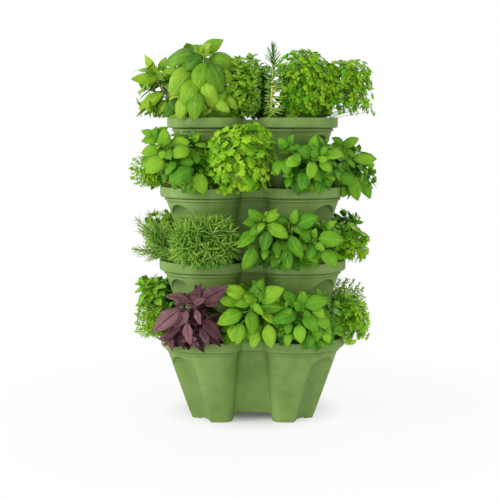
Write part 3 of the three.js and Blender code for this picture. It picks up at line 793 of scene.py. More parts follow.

# The herbs. Leaf is the youngest and the oldest leaf's length in mm, step the way between pairs at the tip, lift the
# leaf's angle above square to its stem, at the tip and at the oldest leaf, fill how closely sprigs stand, tones how
# dark the youngest and the oldest leaf are, and lowStep the way in mm between the low sprigs. PlacedTones and longer
# are for the listed leaves: how dark they may be, and their length over the way from base to tip.
herbs = {
    "purple_basil": {"blade": "purple", "leaf": (20, 47), "nodes": 5, "step": 4.5, "lift": (55, -6), "fill": 0.62},
    "green_basil": {"blade": "basil", "leaf": (16, 44), "nodes": 5, "step": 4.5, "lift": (58, -4), "fill": 0.66},
    "large_basil": {
        "blade": "bigBasil", "leaf": (28, 52), "nodes": 4, "step": 7, "lift": (48, -14), "fill": 0.7,
        "placedTones": (0.22, 0.85), "longer": 1,
    },
    "mint": {"blade": "mint", "leaf": (11, 31), "nodes": 5, "step": 4, "lift": (56, -4), "fill": 0.8},
    "lemon_balm": {"blade": "balm", "leaf": (12, 34), "nodes": 5, "step": 5, "lift": (52, -8), "fill": 0.9},
    "oregano": {
        "blade": "oregano", "leaf": (10, 22), "nodes": 6, "step": 4, "lift": (52, 0), "fill": 0.85, "lowStep": 5,
    },
    "sage": {"blade": "sage", "leaf": (18, 46), "nodes": 4, "step": 6, "lift": (50, -8), "fill": 0.72},
    "bay": {"blade": "bay", "leaf": (26, 48), "nodes": 4, "step": 6, "lift": (50, 0), "fill": 0.6},
    "tarragon": {
        "blade": "narrow", "leaf": (17, 30), "nodes": 7, "step": 3.4, "lift": (58, 22), "fill": 2.3, "whorl": 3,
    },
    "rosemary": {
        "blade": "needle", "leaf": (12, 21), "nodes": 20, "step": 2.5, "lift": (68, 56), "fill": 0.32, "whorl": 3,
    },
    "rosemary_sprig": {
        "blade": "needle", "leaf": (16, 26), "nodes": 44, "step": 1.35, "lift": (78, -12), "whorl": 3,
        "tones": (0.75, 0.1),
    },
    "thyme": {"blade": "tiny", "leaf": (5, 8.5), "nodes": 9, "step": 2.8, "lift": (50, 10), "fill": 0.3},
    "parsley": {"blade": "parsleyLeaflet", "leaf": (8, 12.5), "leaflets": 9, "fill": 0.54, "lowStep": 7},
    "celery_leaf": {"blade": "celeryLeaflet", "leaf": (11, 18), "leaflets": 9, "fill": 0.72},
}
leafMaterials = {
    "purple_basil": livingLeaf("purple basil leaf", "966C70", "6C424A", "3A1C26", "2A0E18", 6, 0.42, 0.85),
    "bright": livingLeaf("bright basil leaf", "9CCC30", "6BA716", "30700A", "B0D65A", 6, 0.42, 0.3),
    "large_basil": livingLeaf("large-leaved basil leaf", "B2D648", "7AAE18", "34700A", "BADA68", 6, 0.34, 0.2),
    "mint": livingLeaf("mint leaf", "8AC22A", "569C14", "26660A", "A0D05C", 8, 0.46, 0.3),
    "balm": livingLeaf("lemon balm leaf", "86BC26", "4C8C12", "225C06", "90C040", 8, 0.5, 0.3),
    "bay": livingLeaf("bay leaf", "B2D634", "7CB01C", "3E7E10", "C6DE70", 7, 0.38, 0.35),
    "parsley": livingLeaf("parsley leaf", "A8DE26", "74BC12", "30840A", "A8D84C", 3, 0.5, 0.15),
    "celery_leaf": livingLeaf("celery leaf", "A6DA28", "78B814", "3E8A08", "BCE058", 3, 0.5, 0.15),
    "grey": livingLeaf("tarragon leaf", "A0CC50", "5EA02C", "1C500A", "A8C878", 1, 0.5, 0.15),
    "needle": livingLeaf("rosemary needle", "AED260", "74AC36", "316A16", "BCD080", 1, 0.5, 0.4),
}
finishes = {
    "purple_basil": ("purple_basil", "purple_leaf"),
    "green_basil": ("bright", "bright_leaf"),
    "large_basil": ("large_basil", "bright_leaf"),
    "mint": ("mint", "green_leaf"),
    "lemon_balm": ("balm", "green_leaf"),
    "oregano": ("mint", "green_leaf"),
    "sage": ("mint", "green_leaf"),
    "bay": ("bay", "green_leaf"),
    "tarragon": ("grey", "green_leaf"),
    "rosemary": ("needle", "deep_leaf"),
    "rosemary_sprig": ("needle", "deep_leaf"),
    "thyme": ("parsley", "deep_leaf"),
    "parsley": ("parsley", "deep_leaf"),
    "celery_leaf": ("celery_leaf", "bright_leaf"),
}
stalk = livingStem("green herb stalk", "9CC24A", "6E9A32")
twig = livingStem("woody herb stalk", "D2DA6C", "A2AC48")
purpleStalk = livingStem("purple basil stalk", "7A5258", "4A2C34")

# tier, herb, place, root and crown centre as shares of the pot's reach, crown centre above the rim, crown size in mm,
# and the leaves' size against that herb's usual one
plants = [
    (1, "purple_basil", "front_left", (-0.48, -0.77), (-0.67, -1.1), 49, (112, 76, 104), 1),
    (1, "green_basil", "front_centre", (-0.34, -0.77), (-0.03, -1.08), 58, (92, 84, 104), 1),
    (1, "mint", "front_right", (0.46, -0.77), (0.6, -1.1), 46, (112, 76, 92), 1),
    (1, "parsley", "right", (0.77, -0.46), (1.05, -0.52), 32, (78, 92, 88), 1.15),
    (1, "thyme", "left", (-0.77, -0.54), (-1.12, -0.5), 24, (56, 84, 62), 1),
    (1, "mint", "left", (-0.77, -0.34), (-1.12, -0.34), 76, (58, 70, 52), 1.05),
    (1, "parsley", "back_left", (-0.48, 0.77), (-0.62, 1.08), 42, (116, 84, 92), 1),
    (1, "mint", "left_back", (-0.77, 0.44), (-1.06, 0.46), 38, (88, 104, 90), 1),
    (1, "green_basil", "back_centre", (0.35, 0.77), (0.02, 1.08), 54, (88, 80, 98), 1),
    (1, "mint", "back_right", (0.48, 0.77), (0.64, 1.08), 42, (114, 84, 92), 1),
    (1, "thyme", "right_back", (0.77, 0.44), (1.06, 0.46), 34, (86, 104, 84), 1),
    (2, "tarragon", "front_left", (-0.48, -0.77), (-0.5, -1.08), 42, (122, 80, 88), 1),
    (2, "green_basil", "front_centre", (0.35, -0.77), (0.2, -1.08), 46, (88, 80, 92), 0.84),
    (2, "mint", "front_right", (0.53, -0.77), (0.68, -1.06), 44, (80, 80, 84), 1),
    (2, "parsley", "right", (0.77, -0.4), (1.02, -0.46), 30, (82, 104, 72), 1.15),
    (2, "rosemary", "left", (-0.77, -0.46), (-1.08, -0.5), 38, (72, 96, 92), 1),
    (2, "mint", "back_left", (-0.48, 0.77), (-0.62, 1.06), 42, (112, 80, 88), 1),
    (2, "green_basil", "left_back", (-0.77, 0.44), (-1.04, 0.46), 36, (82, 104, 84), 0.84),
    (2, "tarragon", "back_centre", (0.35, 0.77), (0.04, 1.06), 42, (88, 78, 84), 1),
    (2, "parsley", "back_right", (0.48, 0.77), (0.66, 1.06), 38, (112, 80, 84), 1),
    (2, "mint", "right_back", (0.77, 0.44), (1.04, 0.5), 34, (84, 100, 82), 1),
    (3, "lemon_balm", "front_left", (-0.48, -0.77), (-0.72, -1.04), 48, (104, 80, 100), 1),
    (3, "celery_leaf", "front_centre", (-0.34, -0.77), (-0.1, -1.1), 52, (118, 78, 116), 1),
    (3, "mint", "front_right", (0.48, -0.77), (0.62, -1.06), 42, (104, 80, 88), 1.05),
    (3, "sage", "right", (0.77, -0.4), (1.14, -0.46), 32, (66, 96, 98), 1),
    (3, "thyme", "left", (-0.77, -0.4), (-1.14, -0.42), 24, (66, 92, 56), 1),
    (3, "parsley", "back_left", (-0.48, 0.77), (-0.64, 1.06), 40, (112, 80, 86), 1),
    (3, "sage", "left_back", (-0.77, 0.44), (-1.06, 0.5), 34, (84, 96, 84), 1),
    (3, "lemon_balm", "back_centre", (0.35, 0.77), (0.02, 1.06), 48, (86, 80, 96), 1),
    (3, "thyme", "back_right", (0.48, 0.77), (0.64, 1.06), 38, (110, 80, 84), 1),
    (3, "mint", "right_back", (0.77, 0.44), (1.06, 0.5), 34, (84, 96, 84), 1.05),
    (4, "large_basil", "front_left", (-0.5, -0.5), (-0.58, -0.66), 64, (120, 120, 122), 1),
    (4, "bay", "left", (-0.74, -0.3), (-1.14, -0.34), 54, (70, 88, 96), 1),
    (4, "oregano", "front_centre", (-0.31, -0.68), (-0.08, -0.72), 56, (56, 84, 106), 1),
    (4, "rosemary_sprig", "front", (0.33, -0.72), (0.25, -0.98), 62, (36, 34, 126), 1),
    (4, "parsley", "front_right", (0.5, -0.5), (0.62, -0.58), 58, (100, 124, 116), 1.05),
    (4, "parsley", "right", (0.74, -0.34), (1.14, -0.4), 56, (86, 112, 92), 1.1),
    (4, "green_basil", "back_left", (-0.5, 0.5), (-0.66, 0.7), 56, (132, 132, 110), 0.9),
    (4, "oregano", "back_centre", (0.31, 0.68), (0, 0.84), 52, (82, 96, 100), 1),
    (4, "mint", "back_right", (0.5, 0.5), (0.72, 0.7), 54, (132, 132, 106), 1),
]

# Leaves set one by one, in mm to the right of and above the crown's centre: the main stem's bud, then each leaf's
# base, its tip, and how far forward the tip stands as a share of the crown's half depth
placedLeaves = {
    "tier_1_purple_basil_front_left": [
        (9, 21), (10, 24, 12, 59, 0.55), (3, 25, -25, 38, 0.5), (20, 24, 60, 47, 0.6), (-10, 13, -53, -16, 0.7),
        (3, 11, -19, -12, 0.75), (15, 14, 18, -6, 0.9), (1, 13, -5, -3, 0.9), (1, -6, 1, -37, 0.95),
        (21, -3, 55, -26, 0.8), (20, -16, 35, -38, 0.85), (27, 18, 46, 27, 0.5), (-7, 2, -36, -29, 0.6),
        (10, 21, 26, 31, 0.8), (4, 22, -7, 33, 0.8),
    ],
    "tier_1_green_basil_front_centre": [
        (4, 13), (7, 22, 12, 59, 0.5), (-5, 21, -33, 41, 0.55), (13, 16, 49, 36, 0.55), (-13, 16, -44, 18, 0.5),
        (-10, -1, -47, -12, 0.75), (16, 7, 47, 10, 0.7), (18, 1, 39, -13, 0.65), (2, 4, 5, -29, 0.95),
        (1, 15, -19, 15, 0.85), (7, 15, 16, 1, 0.95), (4, 13, -4, 25, 0.8), (-13, -16, -19, -46, 0.85),
        (-26, -19, -29, -43, 0.6), (29, -19, 32, -50, 0.9), (12, -30, 5, -53, 0.8), (19, -22, -5, -38, 0.5),
    ],
    "tier_1_mint_front_right": [
        (-15, 17), (-21, 11, -57, 4, 0.8), (-20, 21, -37, 47, 0.55), (-10, 21, 22, 33, 0.6),
        (-14, 25, -12, 50, 0.5), (-12, 8, 11, -13, 0.9), (8, 7, 30, -10, 0.75), (-18, -6, -17, -32, 0.95),
        (-34, -3, -37, -20, 0.7), (-34, -21, -38, -38, 0.8), (-1, -21, -1, -40, 0.85), (22, -15, 28, -34, 0.75),
        (-49, 24, -64, 39, 0.5), (-17, 14, -24, 28, 0.85), (-12, 16, -1, 8, 0.95), (10, -7, 10, -30, 0.8),
        (3, 19, 20, 5, 0.65),
    ],
    "tier_2_green_basil_front_centre": [
        (-12, 33), (-15, 30, -35, 47, 0.6), (-10, 35, -1, 56, 0.5), (-12, 28, 7, 38, 0.6),
        (-16, 27, -41, 24, 0.4), (-15, 21, -33, 7, 0.7), (-8, 21, 22, 7, 0.8), (-24, 11, -52, -9, 0.75),
        (-7, 13, -13, -15, 0.95), (-28, -13, -39, -44, 0.9), (-10, -15, -13, -30, 0.7), (7, -4, 7, -26, 0.6),
        (21, -16, 24, -44, 0.8), (-13, 25, -21, 16, 0.9), (32, 30, 35, 49, 0.5), (26, 24, 10, 33, 0.6),
        (29, 5, 39, -26, 0.95), (33, 19, 43, 11, 0.9),
    ],
    "tier_2_mint_front_right": [
        (-8, -2), (-36, 21, -7, 36, 0.6), (-13, -1, -28, 9, 0.7), (-10, 1, -8, 15, 0.6), (-3, 2, 32, 1, 0.75),
        (-7, -5, 4, -13, 0.95), (-10, -8, -16, -27, 0.9), (3, -16, 26, -38, 0.9), (-17, -22, -5, -35, 0.6),
        (-19, -10, -33, -13, 0.6), (9, 15, 21, 27, 0.4),
    ],
    "tier_3_lemon_balm_front_left": [
        (-22, 13), (-28, 18, -26, 43, 0.6), (-36, 15, -63, 12, 0.6), (-45, 35, -43, 55, 0.4),
        (-46, 34, -59, 44, 0.4), (-42, 37, -29, 51, 0.4), (-46, 31, -71, 31, 0.4), (-28, 15, -32, 3, 0.7),
        (-18, 21, 9, 26, 0.5), (16, 26, 25, 38, 0.4), (14, 15, -14, 9, 0.8), (-28, 3, -53, -18, 0.8),
        (-9, -2, -25, -19, 0.8), (-6, -7, 16, -4, 0.7), (17, -14, -17, -33, 0.95), (23, -21, 33, -49, 0.85),
        (13, -24, 16, -47, 0.75), (23, 10, 25, -4, 0.7), (-34, 1, -59, -7, 0.6),
    ],
    "tier_3_mint_front_right": [
        (4, 7), (1, 18, -2, 44, 0.5), (-2, 12, -24, 23, 0.6), (-19, 7, -42, -1, 0.75), (10, 13, 20, 24, 0.7),
        (13, 12, 44, 16, 0.6), (10, 3, 26, -10, 0.85), (-1, 3, -5, -21, 0.95), (-11, -13, -18, -39, 0.85),
        (-41, 21, -53, 37, 0.6), (-39, 23, -22, 27, 0.7), (-39, 27, -33, 46, 0.5), (-44, 6, -41, -15, 0.8),
        (-56, 6, -58, -15, 0.7), (-30, 16, -22, 4, 0.8), (4, 7, -1, 20, 0.9), (7, 6, 18, 7, 0.95),
    ],
    "tier_3_sage_right": [
        (-25, 21), (-30, 34, -5, 48, 0.5), (-30, 35, -47, 47, 0.5), (-36, 29, -59, 38, 0.4),
        (-22, 29, -9, 21, 0.5), (-12, 12, 22, 14, 0.6), (-20, 11, -35, 19, 0.7), (-20, 11, -22, -9, 0.8),
        (-4, -10, 19, -41, 0.7), (-13, -10, -7, -48, 0.9), (-57, -5, -35, -43, 0.95), (-23, -7, -33, -28, 0.7),
        (-22, 14, -9, 4, 0.8),
    ],
    "tier_4_large_basil_front_left": [
        (4, 38), (1, 40, 29, 59, 0.43), (-4, 34, -55, 38, 0.43), (12, 31, 58, 24, 0.5), (2, 33, -28, 13, 0.73),
        (8, 22, -8, -21, 0.87), (12, 22, 35, -23, 0.87), (-15, 16, -48, -30, 0.7), (-9, -4, -28, -42, 0.93),
        (7, -6, 15, -47, 0.97), (-6, -26, -12, -70, 1.0), (30, -14, 26, -50, 0.83), (22, 12, 54, -6, 0.57),
        (36, -28, 56, -46, 0.73), (-34, -34, -54, -58, 0.63), (0, 38, 10, 52, 0.5), (2, 38, -8, 50, 0.5),
        (-22, -30, -38, -62, 0.85), (22, -40, 36, -66, 0.9),
    ],
    "tier_4_bay_left": [
        (2, 16), (1, 19, -14, 44, 0.59), (6, 20, 17, 41, 0.59), (7, 8, -34, 9, 0.68), (9, 12, 34, 26, 0.64),
        (16, -13, -22, -35, 0.77), (20, -24, 4, -47, 0.73), (2, 16, -10, 22, 0.82), (4, 14, 16, 8, 0.82),
        (12, 2, 34, -8, 0.7),
    ],
}
handSet = {
    "forward": 0.35,  # where the bud stands, as a share of the crown's half depth
    "step": 0.25,  # how much further forward a tip stands than its base
    "longer": 1.1,  # leaf's length over the way from base to tip, for its droop
    "turned": 0.6,  # how far a leaf may turn about its rib
    "lifted": (0.1, 0.9),  # how far its top looks up
    "behind": 0.16,  # painted shade: how much darker the leaves behind the front ones are
    "buds": 6,  # small leaves round the bud
    "around": 0.85,  # how many of the usual sprigs still stand beside and behind
    "clearFront": -0.55,  # and how far to the front they may face
    "tones": (0.1, 0.65),
    "budAngle": 2.4,  # how far each next leaf of the bud is turned
    "budScale": (0.5, 0.8),
    "budMost": 20,  # mm
    "budTone": 0.15,
    "budFacing": (-0.7, 0.2),  # forward and up
    "growth": (0, -0.3, 1),  # of the main stem
    "stem": 1.3,  # thickness of the main stem over a sprig's
}
# How much darker or paler than usual a few plants are: partly the plant's own tone, partly painted light that lifts
# leaves lying in shade
shades = {
    "tier_2_green_basil_front_centre": 0.22,
    "tier_1_green_basil_front_centre": 0.05,
    "tier_1_mint_front_right": -0.08,
    "tier_2_mint_front_right": -0.08,
    "tier_3_celery_leaf_front_centre": -0.03,
    "tier_4_oregano_front_centre": -0.35,
    "tier_1_mint_left": -0.35,
    "tier_1_thyme_left": -0.2,
    "tier_1_parsley_right": -0.1,
    "tier_2_parsley_right": -0.1,
    "tier_3_sage_right": -0.2,
    "tier_3_lemon_balm_front_left": -0.12,
    "tier_3_mint_front_right": -0.06,
}
overhang = {"sideways": 12 * mm, "down": 9 * mm}  # how far leaves may pass the crown's box

# How sprigs spread over a crown, and how their stalks grow; lengths in metres
growing = {
    "spots": (420, 2600),  # places to choose the tips from, and tries to find them
    "behind": (-0.35, 0.45),  # tips face no further back than this, unless they face up as far as that
    "shell": (0.7, 0.84, 0.55),  # share of tips in the outer shell, how deep it is, and where the inner one lies
    "leastShell": 0.4,
    "margin": (0.35, 0.5),  # tips stay this share of the leaf's length, or of the crown's half, inside the crown
    "upFirst": 0.4,  # the first tip is chosen outward and this much upward
    "stalkTries": 4,
    "stalkLift": (0.01, 0.008),  # how much higher each new try bends at the root and at the tip
    "stalkPull": 0.32,  # how much of its length a stalk grows straight at its tip
    "stalkSteps": 9,
    "launch": 0.008,  # how far above the rim, and outward, stalks pass it
    "rootSpread": (7, -4),  # mm to each side, and up
    "ways": (0.75, 0.4, 0.4),  # how much a sprig grows the way its tip faces, outward and up
    "scale": (0.85, 1.1),  # of one sprig's leaves
    "spread": (1.9, 2.4),  # a divided leaf's width over its largest leaflet, and how many more of them stand
    "facing": (0.5, 0.3, 0.3, 0.3),  # divided leaves face their way of growing, from the centre, outward and up
    "thickness": [(0.04, 0.0015), (0.018, 0.0011), (0, 0.0007)],  # of stalks, for leaves over this length
    "sprigThickness": 0.0018,
    "thin": 0.5,  # a stalk's tip over its foot
    "sides": (0.0006, 5, 3),  # stalks thicker than this have so many sides, the others so many
    "stalkTone": 0.4,
    "slack": 0.005,  # so that leaves don't all end at one plane
    "tones": (-0.2, 1),  # palest and darkest
    "leafStalk": (0.0006, 0.012, 0.45, 0.7, 0.75),  # least and short length, thickness of both, and its taper
}
# The low sprigs round the root, in mm
lowGrowth = {
    "tries": 60,
    "out": (-6, 10),  # where they start, outward from the root
    "aside": 0.34,  # and to each side, as a share of the crown's wider side
    "away": (0, 14),  # how far they lean outward
    "drift": (-10, 10),  # and sideways
    "over": (0, 1.5),  # shares of the way from the root to the crown's centre
    "rise": (5, 24),  # above the rim
    "inset": 4,  # how far inside the crown's box they end
    "knee": 4,  # below the rim, where they bend
    "bendSteps": 6,
    "ways": (40, 0.2, 0.5),  # how much they grow the way they lean, outward and up
    "scale": (0.6, 0.85),
    "step": {1: 30, 2: 30, 3: 30, 4: 9},  # for each tier, where the herb has no lowStep of its own
}
# The one tall sprig of rosemary, in mm: knee and top from the crown's centre, the rim and the crown's top
tallSprig = {
    "knee": (-6, -9, 12),
    "top": (-3, -5, -22),
    "over": 4,
    "pulls": [(0, 10, -10), (1, -1, 30), (0, 0, 40)],  # before and after the knee, and below the top
    "steps": (7, 26),
    "growth": (0.05, 0, 1),
}
# How pairs or whorls of leaves follow each other down a sprig
pairing = {
    "spacing": (1.35, 1.6),  # power for pairs, factor for whorls
    "uneven": (0.9, 1.1),
    "grownAt": 1.5,  # leaves have their full length this much sooner than at the last pair
    "dropping": 0.8,  # power by which leaves sink from the tip downward
    "spin": 0.25,
    "lean": 0.2,
    "up": 0.3,  # how much the leaves' tops look up
    "size": (0.84, 1.08),
    "tones": (0, 0.55),
    "toneSpread": (-0.1, 0.3),
    "whorlTurn": 1.05,  # how far each next whorl is turned
    "pairTurn": 0.2,  # how much pairs differ from a square cross
}
# How leaflets lie in a divided leaf; the spots are across, along and the degrees that each leaflet is turned
dividing = {
    "tilt": 0.55,
    "tone": (-0.1, 0.6),
    "toneSpread": (-0.1, 0.2),
    "spread": 0.75,  # the spots' unit over the largest leaflet
    "turn": 18,
    "leafletTilt": 0.4,
    "depth": 0.2,
    "lower": 0.85,  # size of the lower leaflets
    "spots": [
        (0, 0.45, 0), (-0.6, 0.2, -50), (0.6, 0.2, 50), (-0.5, -0.5, -75), (0.5, -0.5, 75),
        (-1.15, -0.15, -80), (1.15, -0.15, 80), (-0.95, -0.85, -110), (0.95, -0.85, 110),
    ],
}
# A leaf that would stand in a wall is turned down by so many degrees and made smaller, so many times
fitting = {"tries": 4, "droop": 0.8, "turn": 28, "shrink": 0.88}


# A tapering tube along a path, closed at both ends
def tube(path, thick, thin, sides):
    points, faces = [], []
    count = len(path)
    side = Vector((1, 0, 0))
    for k, here in enumerate(path):
        ahead = (path[min(k + 1, count - 1)] - path[max(k - 1, 0)]).normalized()
        square = side - ahead * side.dot(ahead)
        side = square.normalized() if abs(side.dot(ahead)) < 0.99 else ahead.orthogonal().normalized()
        other = ahead.cross(side)
        radius = thick + (thin - thick) * k / (count - 1)
        for s in range(sides):
            angle = 2 * math.pi * s / sides
            points.append(here + (side * math.cos(angle) + other * math.sin(angle)) * radius)
    for k in range(count - 1):
        for s in range(sides):
            a, b = k * sides + s, k * sides + (s + 1) % sides
            faces.append((a, b, b + sides, a + sides))
    faces.append(tuple(range(sides - 1, -1, -1)))
    faces.append(tuple(range((count - 1) * sides, count * sides)))
    return points, faces


def curved(start, first, second, end, steps):
    path = []
    for k in range(steps + 1):
        t = k / steps
        path.append(start * (1 - t) ** 3 + first * 3 * t * (1 - t) ** 2 + second * 3 * t * t * (1 - t) + end * t**3)
    return path


def blocked(walls, start, end):
    step = end - start
    far = step.length
    if far < 1e-6:
        return False
    return any(wall.ray_cast(start, step / far, far)[0] is not None for wall in walls)


# Where a leaf goes: base, direction and the way its top faces, all in metres
def leafPlace(base, along, up, length):
    y = along.normalized()
    x = y.cross(up)
    x = x.normalized() if x.length > 1e-4 else y.orthogonal().normalized()
    z = x.cross(y)
    turned = Matrix((x * length, y * length, z * length)).transposed()
    return Matrix.Translation(base) @ turned.to_4x4()


# Tips spread evenly over the crown's outside and, fewer, inside it, where no wall stands between them and the root
def tipPlaces(centre, half, outward, launch, margin, count, walls, chance):
    spots, facings = [], []
    wanted, tries = growing["spots"]
    behind, above = growing["behind"]
    outer, shell, inner = growing["shell"]
    least = growing["leastShell"]
    while len(spots) < wanted and tries > 0:
        tries -= 1
        facing = Vector([chance.gauss(0, 1) for _ in range(3)]).normalized()
        if facing.dot(outward) < behind and facing.z < above:
            continue
        bulge = sum(abs(f) ** 3 for f in facing) ** (-1 / 3)
        depth = chance.uniform(shell, 1) if chance.random() < outer else inner
        spot = centre + Vector([f * bulge * depth * max(h - margin, h * least) for f, h in zip(facing, half)])
        if not blocked(walls, launch, spot):
            spots.append(spot)
            facings.append(facing)
    if not spots:
        return []
    places = np.array(spots)
    distance = np.full(len(spots), 1.0)
    index = int(np.argmax(places @ np.array(outward + Vector((0, 0, growing["upFirst"])))))
    picked = []
    for _ in range(min(count, len(spots))):
        picked.append((spots[index], facings[index]))
        distance = np.minimum(distance, np.linalg.norm(places - places[index], axis=1))
        index = int(distance.argmax())
    return picked


# A stalk from the root, up past the rim and out to the tip, clear of the walls
def stalkPath(start, launch, tip, growth, walls):
    length = (tip - start).length
    rootLift, tipLift = growing["stalkLift"]
    for attempt in range(growing["stalkTries"]):
        first = Vector((start.x, start.y, launch.z + rootLift * attempt))
        second = tip - growth * length * growing["stalkPull"] + Vector((0, 0, tipLift * attempt))
        trial = curved(start, first, second, tip, growing["stalkSteps"])
        if not any(blocked(walls, a, b) for a, b in zip(trial[1:], trial[2:])):
            return trial
    return curved(start, launch, launch, tip, growing["stalkSteps"])


# Short sprigs low round the root, which hide the bare stalks above the rim
def lowSprigs(root, centre, outward, rimZ, size, spacing, walls, chance):
    low = lowGrowth
    side = Vector((-outward.y, outward.x, 0))
    over = Vector((centre.x - root.x, centre.y - root.y, 0))
    reachX, reachY = [(size[axis] / 2 - low["inset"]) * mm for axis in (0, 1)]
    onward, outwards, upwards = low["ways"]
    found = []
    for _ in range(low["tries"]):
        out = chance.uniform(*low["out"])
        start = root + (outward * out + side * chance.uniform(-low["aside"], low["aside"]) * max(size[:2])) * mm
        away = (outward * chance.uniform(*low["away"]) + side * chance.uniform(*low["drift"])) * mm
        away += over * chance.uniform(*low["over"])
        tip = Vector((start.x + away.x, start.y + away.y, rimZ + chance.uniform(*low["rise"]) * mm))
        tip.x = min(max(tip.x, centre.x - reachX), centre.x + reachX)
        tip.y = min(max(tip.y, centre.y - reachY), centre.y + reachY)
        knee = Vector((start.x, start.y, rimZ - low["knee"] * mm))
        if len(found) < size[0] / spacing and not blocked(walls, start, knee) and not blocked(walls, knee, tip):
            growth = (away * onward + outward * outwards + Vector((0, 0, upwards))).normalized()
            found.append((curved(start, knee, knee, tip, low["bendSteps"]), growth, chance.uniform(*low["scale"])))
    return found


# The one tall sprig leans over the rim and stands in front of the others
def sprigPath(root, centre, high, rimZ):
    (kneeX, kneeY, kneeZ), (topX, topY, topZ) = tallSprig["knee"], tallSprig["top"]
    knee = Vector((centre.x + kneeX * mm, centre.y + kneeY * mm, rimZ + kneeZ * mm))
    top = Vector((centre.x + topX * mm, centre.y + topY * mm, high.z + topZ * mm))
    over = Vector((root.x, root.y, rimZ + tallSprig["over"] * mm))
    before, after, last = [Vector(pull) * mm for pull in tallSprig["pulls"]]
    first, second = tallSprig["steps"]
    path = curved(root, over, knee + before, knee, first)
    return path + curved(knee, knee + after, top - last, top, second)[1:]


# The crown's box with what leaves may pass it by, never past the whole tower's
def roomFor(low, high, sideways):
    down = overhang["down"] if sideways == 0 else 0
    low = low - Vector((sideways, sideways / 3, down))
    high = high + Vector((sideways, sideways / 3, 0))
    edge = Vector((1, 1, 0)) * mm / 2
    least, most = Vector(cadBox[0]) + edge, Vector(cadBox[1]) - edge
    return Vector([max(a, b) for a, b in zip(low, least)]), Vector([min(a, b) for a, b in zip(high, most)])


# Sets one leaf where it fits, with its short stalk where its base stands off the stem
def setLeaf(plant, matrix, tone, anchor, room, chance):
    template = plant["kinds"][chance.choice((0, 1, 1, 2))]
    fitted = fit(matrix, template, *room, plant["walls"])
    if fitted is None:
        return
    plant["placed"].append((fitted, tone, template))
    base = fitted.translation.copy()
    gap = (base - anchor).length
    least, short, thinner, thicker, taper = growing["leafStalk"]
    if gap > least:
        width = plant["thick"] * (thinner if gap < short else thicker)
        path = [anchor, (anchor + base) / 2 - Vector((0, 0, least)), base]
        plant["stems"].append((path, width, width * taper))


# The main stem with its bud, and the listed leaves, each on the nearest stalk
def setByHand(plant, name, shape, root, centre, half, launch, small, room, chance):
    (budX, budZ), *rows = placedLeaves[name]
    tip = centre + Vector((budX * mm, -half.y * handSet["forward"], budZ * mm))
    start = root + Vector((0, 0, growing["rootSpread"][1])) * mm
    path = stalkPath(start, launch, tip, Vector(handSet["growth"]).normalized(), plant["walls"])
    plant["stems"].append((path, plant["thick"] * handSet["stem"], plant["thick"]))
    spines = [point for stem in plant["stems"] if len(stem[0]) > 4 for point in stem[0][3:]]
    palest, darkest = shape.get("placedTones", handSet["tones"])
    longer = shape.get("longer", handSet["longer"])
    front, up = handSet["budFacing"]
    turn = chance.uniform(0, 6)
    for k in range(handSet["buds"]):
        angle = turn + k * handSet["budAngle"]
        out = Vector((math.cos(angle), front, math.sin(angle) + up)).normalized()
        length = min(small, handSet["budMost"] * mm) * chance.uniform(*handSet["budScale"])
        matrix = leafPlace(tip - out * mm, out, Vector((0, -1, 0.3)) - out, length)
        setLeaf(plant, matrix, palest + handSet["budTone"], tip, room, chance)
    for x, z, tipX, tipZ, depth in rows:
        base = centre + Vector((x * mm, -half.y * (depth - handSet["step"]), z * mm))
        along = centre + Vector((tipX * mm, -half.y * depth, tipZ * mm)) - base
        roll, up = chance.uniform(-handSet["turned"], handSet["turned"]), chance.uniform(*handSet["lifted"])
        matrix = leafPlace(base, along, Vector((roll, -1, up)).normalized(), along.length * longer)
        spine = min(spines, key=lambda point: (point - base).length + max(0, point.z - base.z))
        tone = chance.uniform(palest, darkest) + shades.get(name, 0)
        setLeaf(plant, matrix, min(1, max(0, tone)), spine, room, chance)


